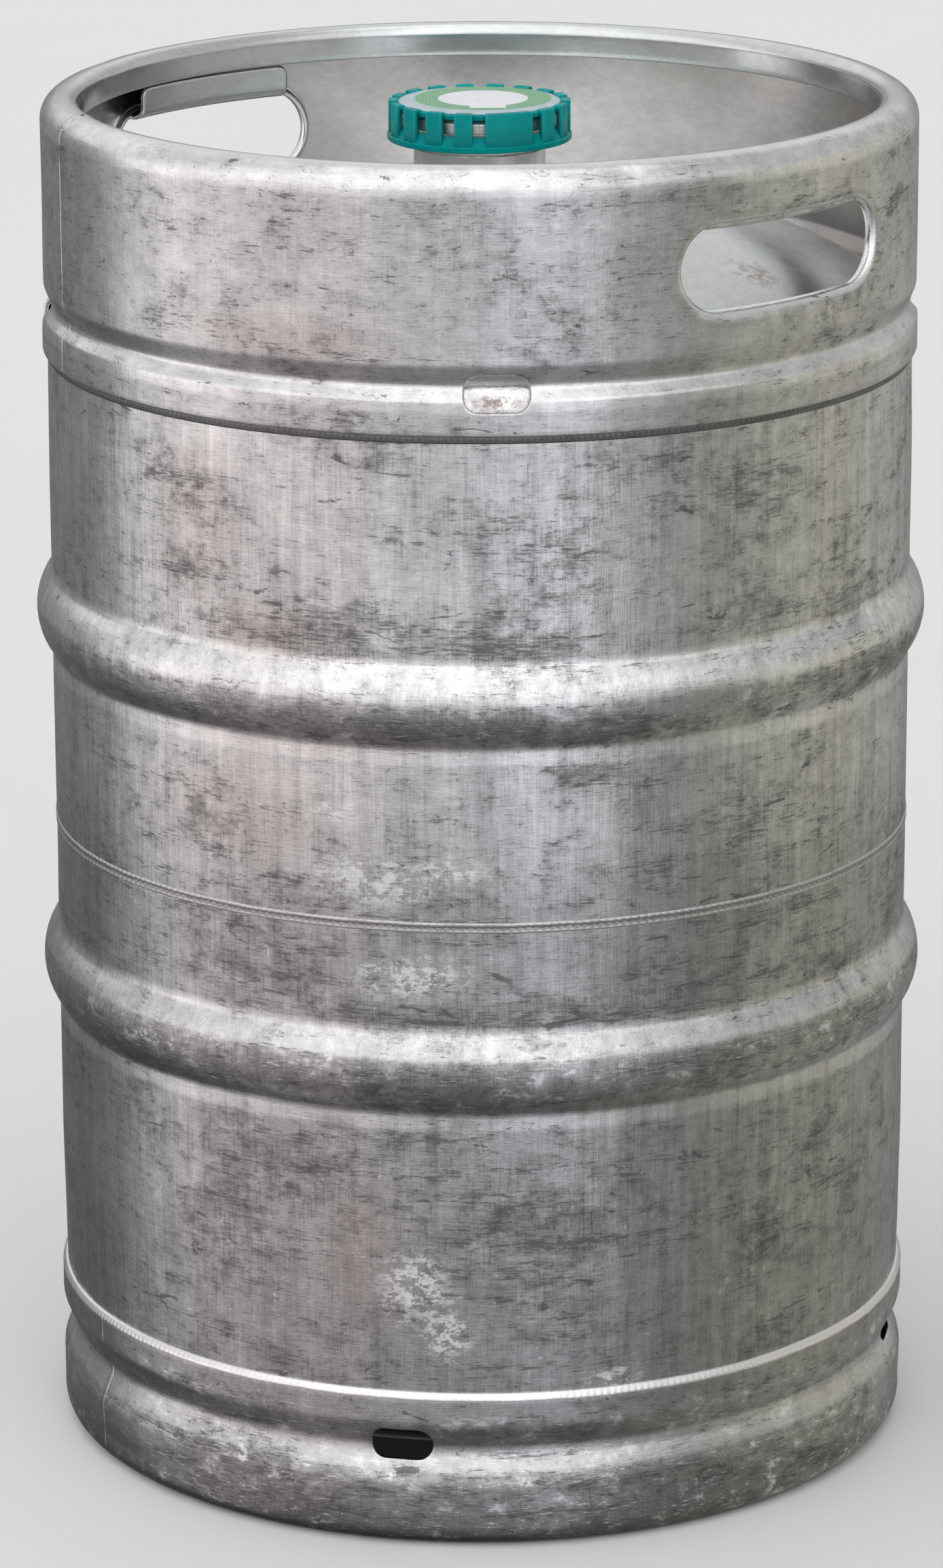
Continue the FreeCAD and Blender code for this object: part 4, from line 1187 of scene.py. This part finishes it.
# Pink on the left, blue in the middle and yellow on the right: azimuth, red share, blue share.
TINTS = [(-180, 1.00, 1.00), (-105, 0.98, 1.00), (-80, 1.06, 1.00), (-40, 1.06, 0.99), (-15, 1.00, 1.04),
         (25, 1.00, 1.07), (50, 1.00, 0.97), (70, 1.00, 0.90), (110, 1.02, 0.87), (140, 0.99, 0.95),
         (180, 1.00, 1.00)]
# Elevation in degrees, and the share of the horizon's brightness there.
BELOW = [(-90, 0.16), (-70, 0.26), (-50, 0.38), (-36, 0.47), (-27, 0.61), (-20, 0.80), (-15, 0.96),
         (-10, 1.08), (0, 1.15)]


def turn_share(angle):
    """Where an azimuth in degrees lies between -180 and 180, from 0 to 1."""
    return (angle + 180.0) / 360.0


def stops_ramp(graph, share, stops):
    """A colour ramp of (position, red, green, blue) stops, at positions from 0 to 1."""
    node = graph.node("ShaderNodeValToRGB")
    graph.feed(node.inputs[0], share)
    elements = node.color_ramp.elements
    while len(elements) < len(stops):
        elements.new(0.5)
    for element, (position, *colour) in zip(elements, stops):
        element.position = position
        element.color = (*colour, 1.0)
    return Value(graph, node.outputs[0])


def studio_world():
    """Soft light: bright above the camera, uneven round the horizon, dark underneath."""
    world = bpy.data.worlds.new("studio")
    bpy.context.scene.world = world
    world.use_nodes = True
    graph = Graph(world.node_tree)
    background = world.node_tree.nodes["Background"]
    x, y, z = graph.split(graph.node("ShaderNodeTexCoord").outputs["Generated"])
    offset = 1.0 + (270.0 - CAMERA_AZIMUTH) / 360.0
    turns = graph.math("FRACT", graph.math("ARCTAN2", y, x) * (0.5 / math.pi) + offset)
    ring, sky = [stops_ramp(graph, turns, [(turn_share(angle), *[level] * 3) for angle, level in table])
                 for table in (HORIZON, SKY)]
    tint = stops_ramp(graph, turns, [(turn_share(angle), red, 1.0, blue) for angle, red, blue in TINTS])
    steps = [(0.5 + 0.5 * math.sin(math.radians(angle)), *[level] * 3) for angle, level in BELOW]
    share = stops_ramp(graph, z * 0.5 + 0.5, steps)
    lit_floor = graph.ramp(turns, turn_share(15), turn_share(55)) * graph.ramp(turns, 1.0, turn_share(150))
    lit_floor = lit_floor * graph.ramp(z, -0.3, -0.6)
    share = share * (1.0 + lit_floor * 0.9)
    low = graph.vector("MULTIPLY", graph.vector("MULTIPLY", ring, share), tint)
    high = graph.colour(graph.ramp(z, 0.85, 1.0), sky, (1.25, 1.26, 1.27, 1.0))
    graph.feed(background.inputs["Color"], graph.colour(graph.ramp(z, 0.03, 0.34), low, high))
    background.inputs["Strength"].default_value = 1.0


def floor():
    """A plain pale floor that the keg stands on, which its steel doesn't mirror."""
    material, graph, shader, place = new_material("studio_floor")
    cloud = graph.noise(place, 1.3, 3.0, 0.5)
    graph.feed(shader.inputs["Base Color"], graph.colour(cloud, grey(0.80), grey(0.84)))
    shader.inputs["Roughness"].default_value = 0.9
    shader.inputs["Specular IOR Level"].default_value = 0.0
    size = 30.0
    corners = [(-size, -size, 0.0), (size, -size, 0.0), (size, size, 0.0), (-size, size, 0.0)]
    mesh = bpy.data.meshes.new("studio_floor")
    mesh.from_pydata(corners, [], [(0, 1, 2, 3)])
    mesh.materials.append(material)
    plane = bpy.data.objects.new("studio_floor", mesh)
    bpy.context.scene.collection.objects.link(plane)
    plane.visible_glossy = False


def camera():
    """The photograph's angle: a long lens about 2.7 m away, looking 16 degrees down."""
    distance, height = 2.7173, 1.0648
    down, roll, aside = 16.039, -0.128, 0.0841
    place = Matrix.Rotation(math.radians(CAMERA_AZIMUTH), 4, "Z")
    place = place @ Matrix.Translation((0.0, -distance, height))
    for degrees, axis in ((90.0 - down, "X"), (roll, "Z"), (aside, "Y")):
        place = place @ Matrix.Rotation(math.radians(degrees), 4, axis)
    data = bpy.data.cameras.new("camera")
    data.lens = 147.66
    data.sensor_width = 36.0
    data.sensor_fit = "AUTO"
    data.clip_end = 100.0
    made = bpy.data.objects.new("camera", data)
    made.matrix_world = place
    bpy.context.scene.collection.objects.link(made)
    bpy.context.scene.camera = made


def build():
    upper_shell()
    lower_shell()
    for weld in WELDS:
        weld_bead(*weld)
    top_chime()
    bottom_chime()
    chime_seam("top_chime_seam_weld", TOP_CHIME_CORNERS, TOP_SEAM_ANGLE, "top_chime_seam")
    chime_seam("bottom_chime_seam_weld", BOTTOM_CHIME_CORNERS, BOTTOM_SEAM_ANGLE, "bottom_chime_seam")
    neck()
    spear_body()
    gas_valve()
    security_cap()
    cap_label()
    gas = make_piece("gas_spring_coil", helix(15.5, 1.0, 4.5, 527.3, 571.4), "keg", ["gas_spring"],
                     SPRING_STEEL)
    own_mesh(gas)
    beer = make_piece("beer_spring_coil", helix(7.6, 0.55, 4.5, 554.6, 573.9), "extractor", ["beer_spring"],
                      SPRING_STEEL)
    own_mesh(beer)
    finish_node("neck_weld", GREY_WELD)
    finish_node("neck_seal", RUBBER)
    for node in ("lock_ring", "spring_cage", "valve_insert", "down_tube", "beer_valve"):
        finish_node(node, FITTING_STEEL)


build()
floor()
studio_world()
camera()
bpy.context.scene.view_settings.view_transform = "Standard"
bpy.context.scene.view_settings.look = "None"
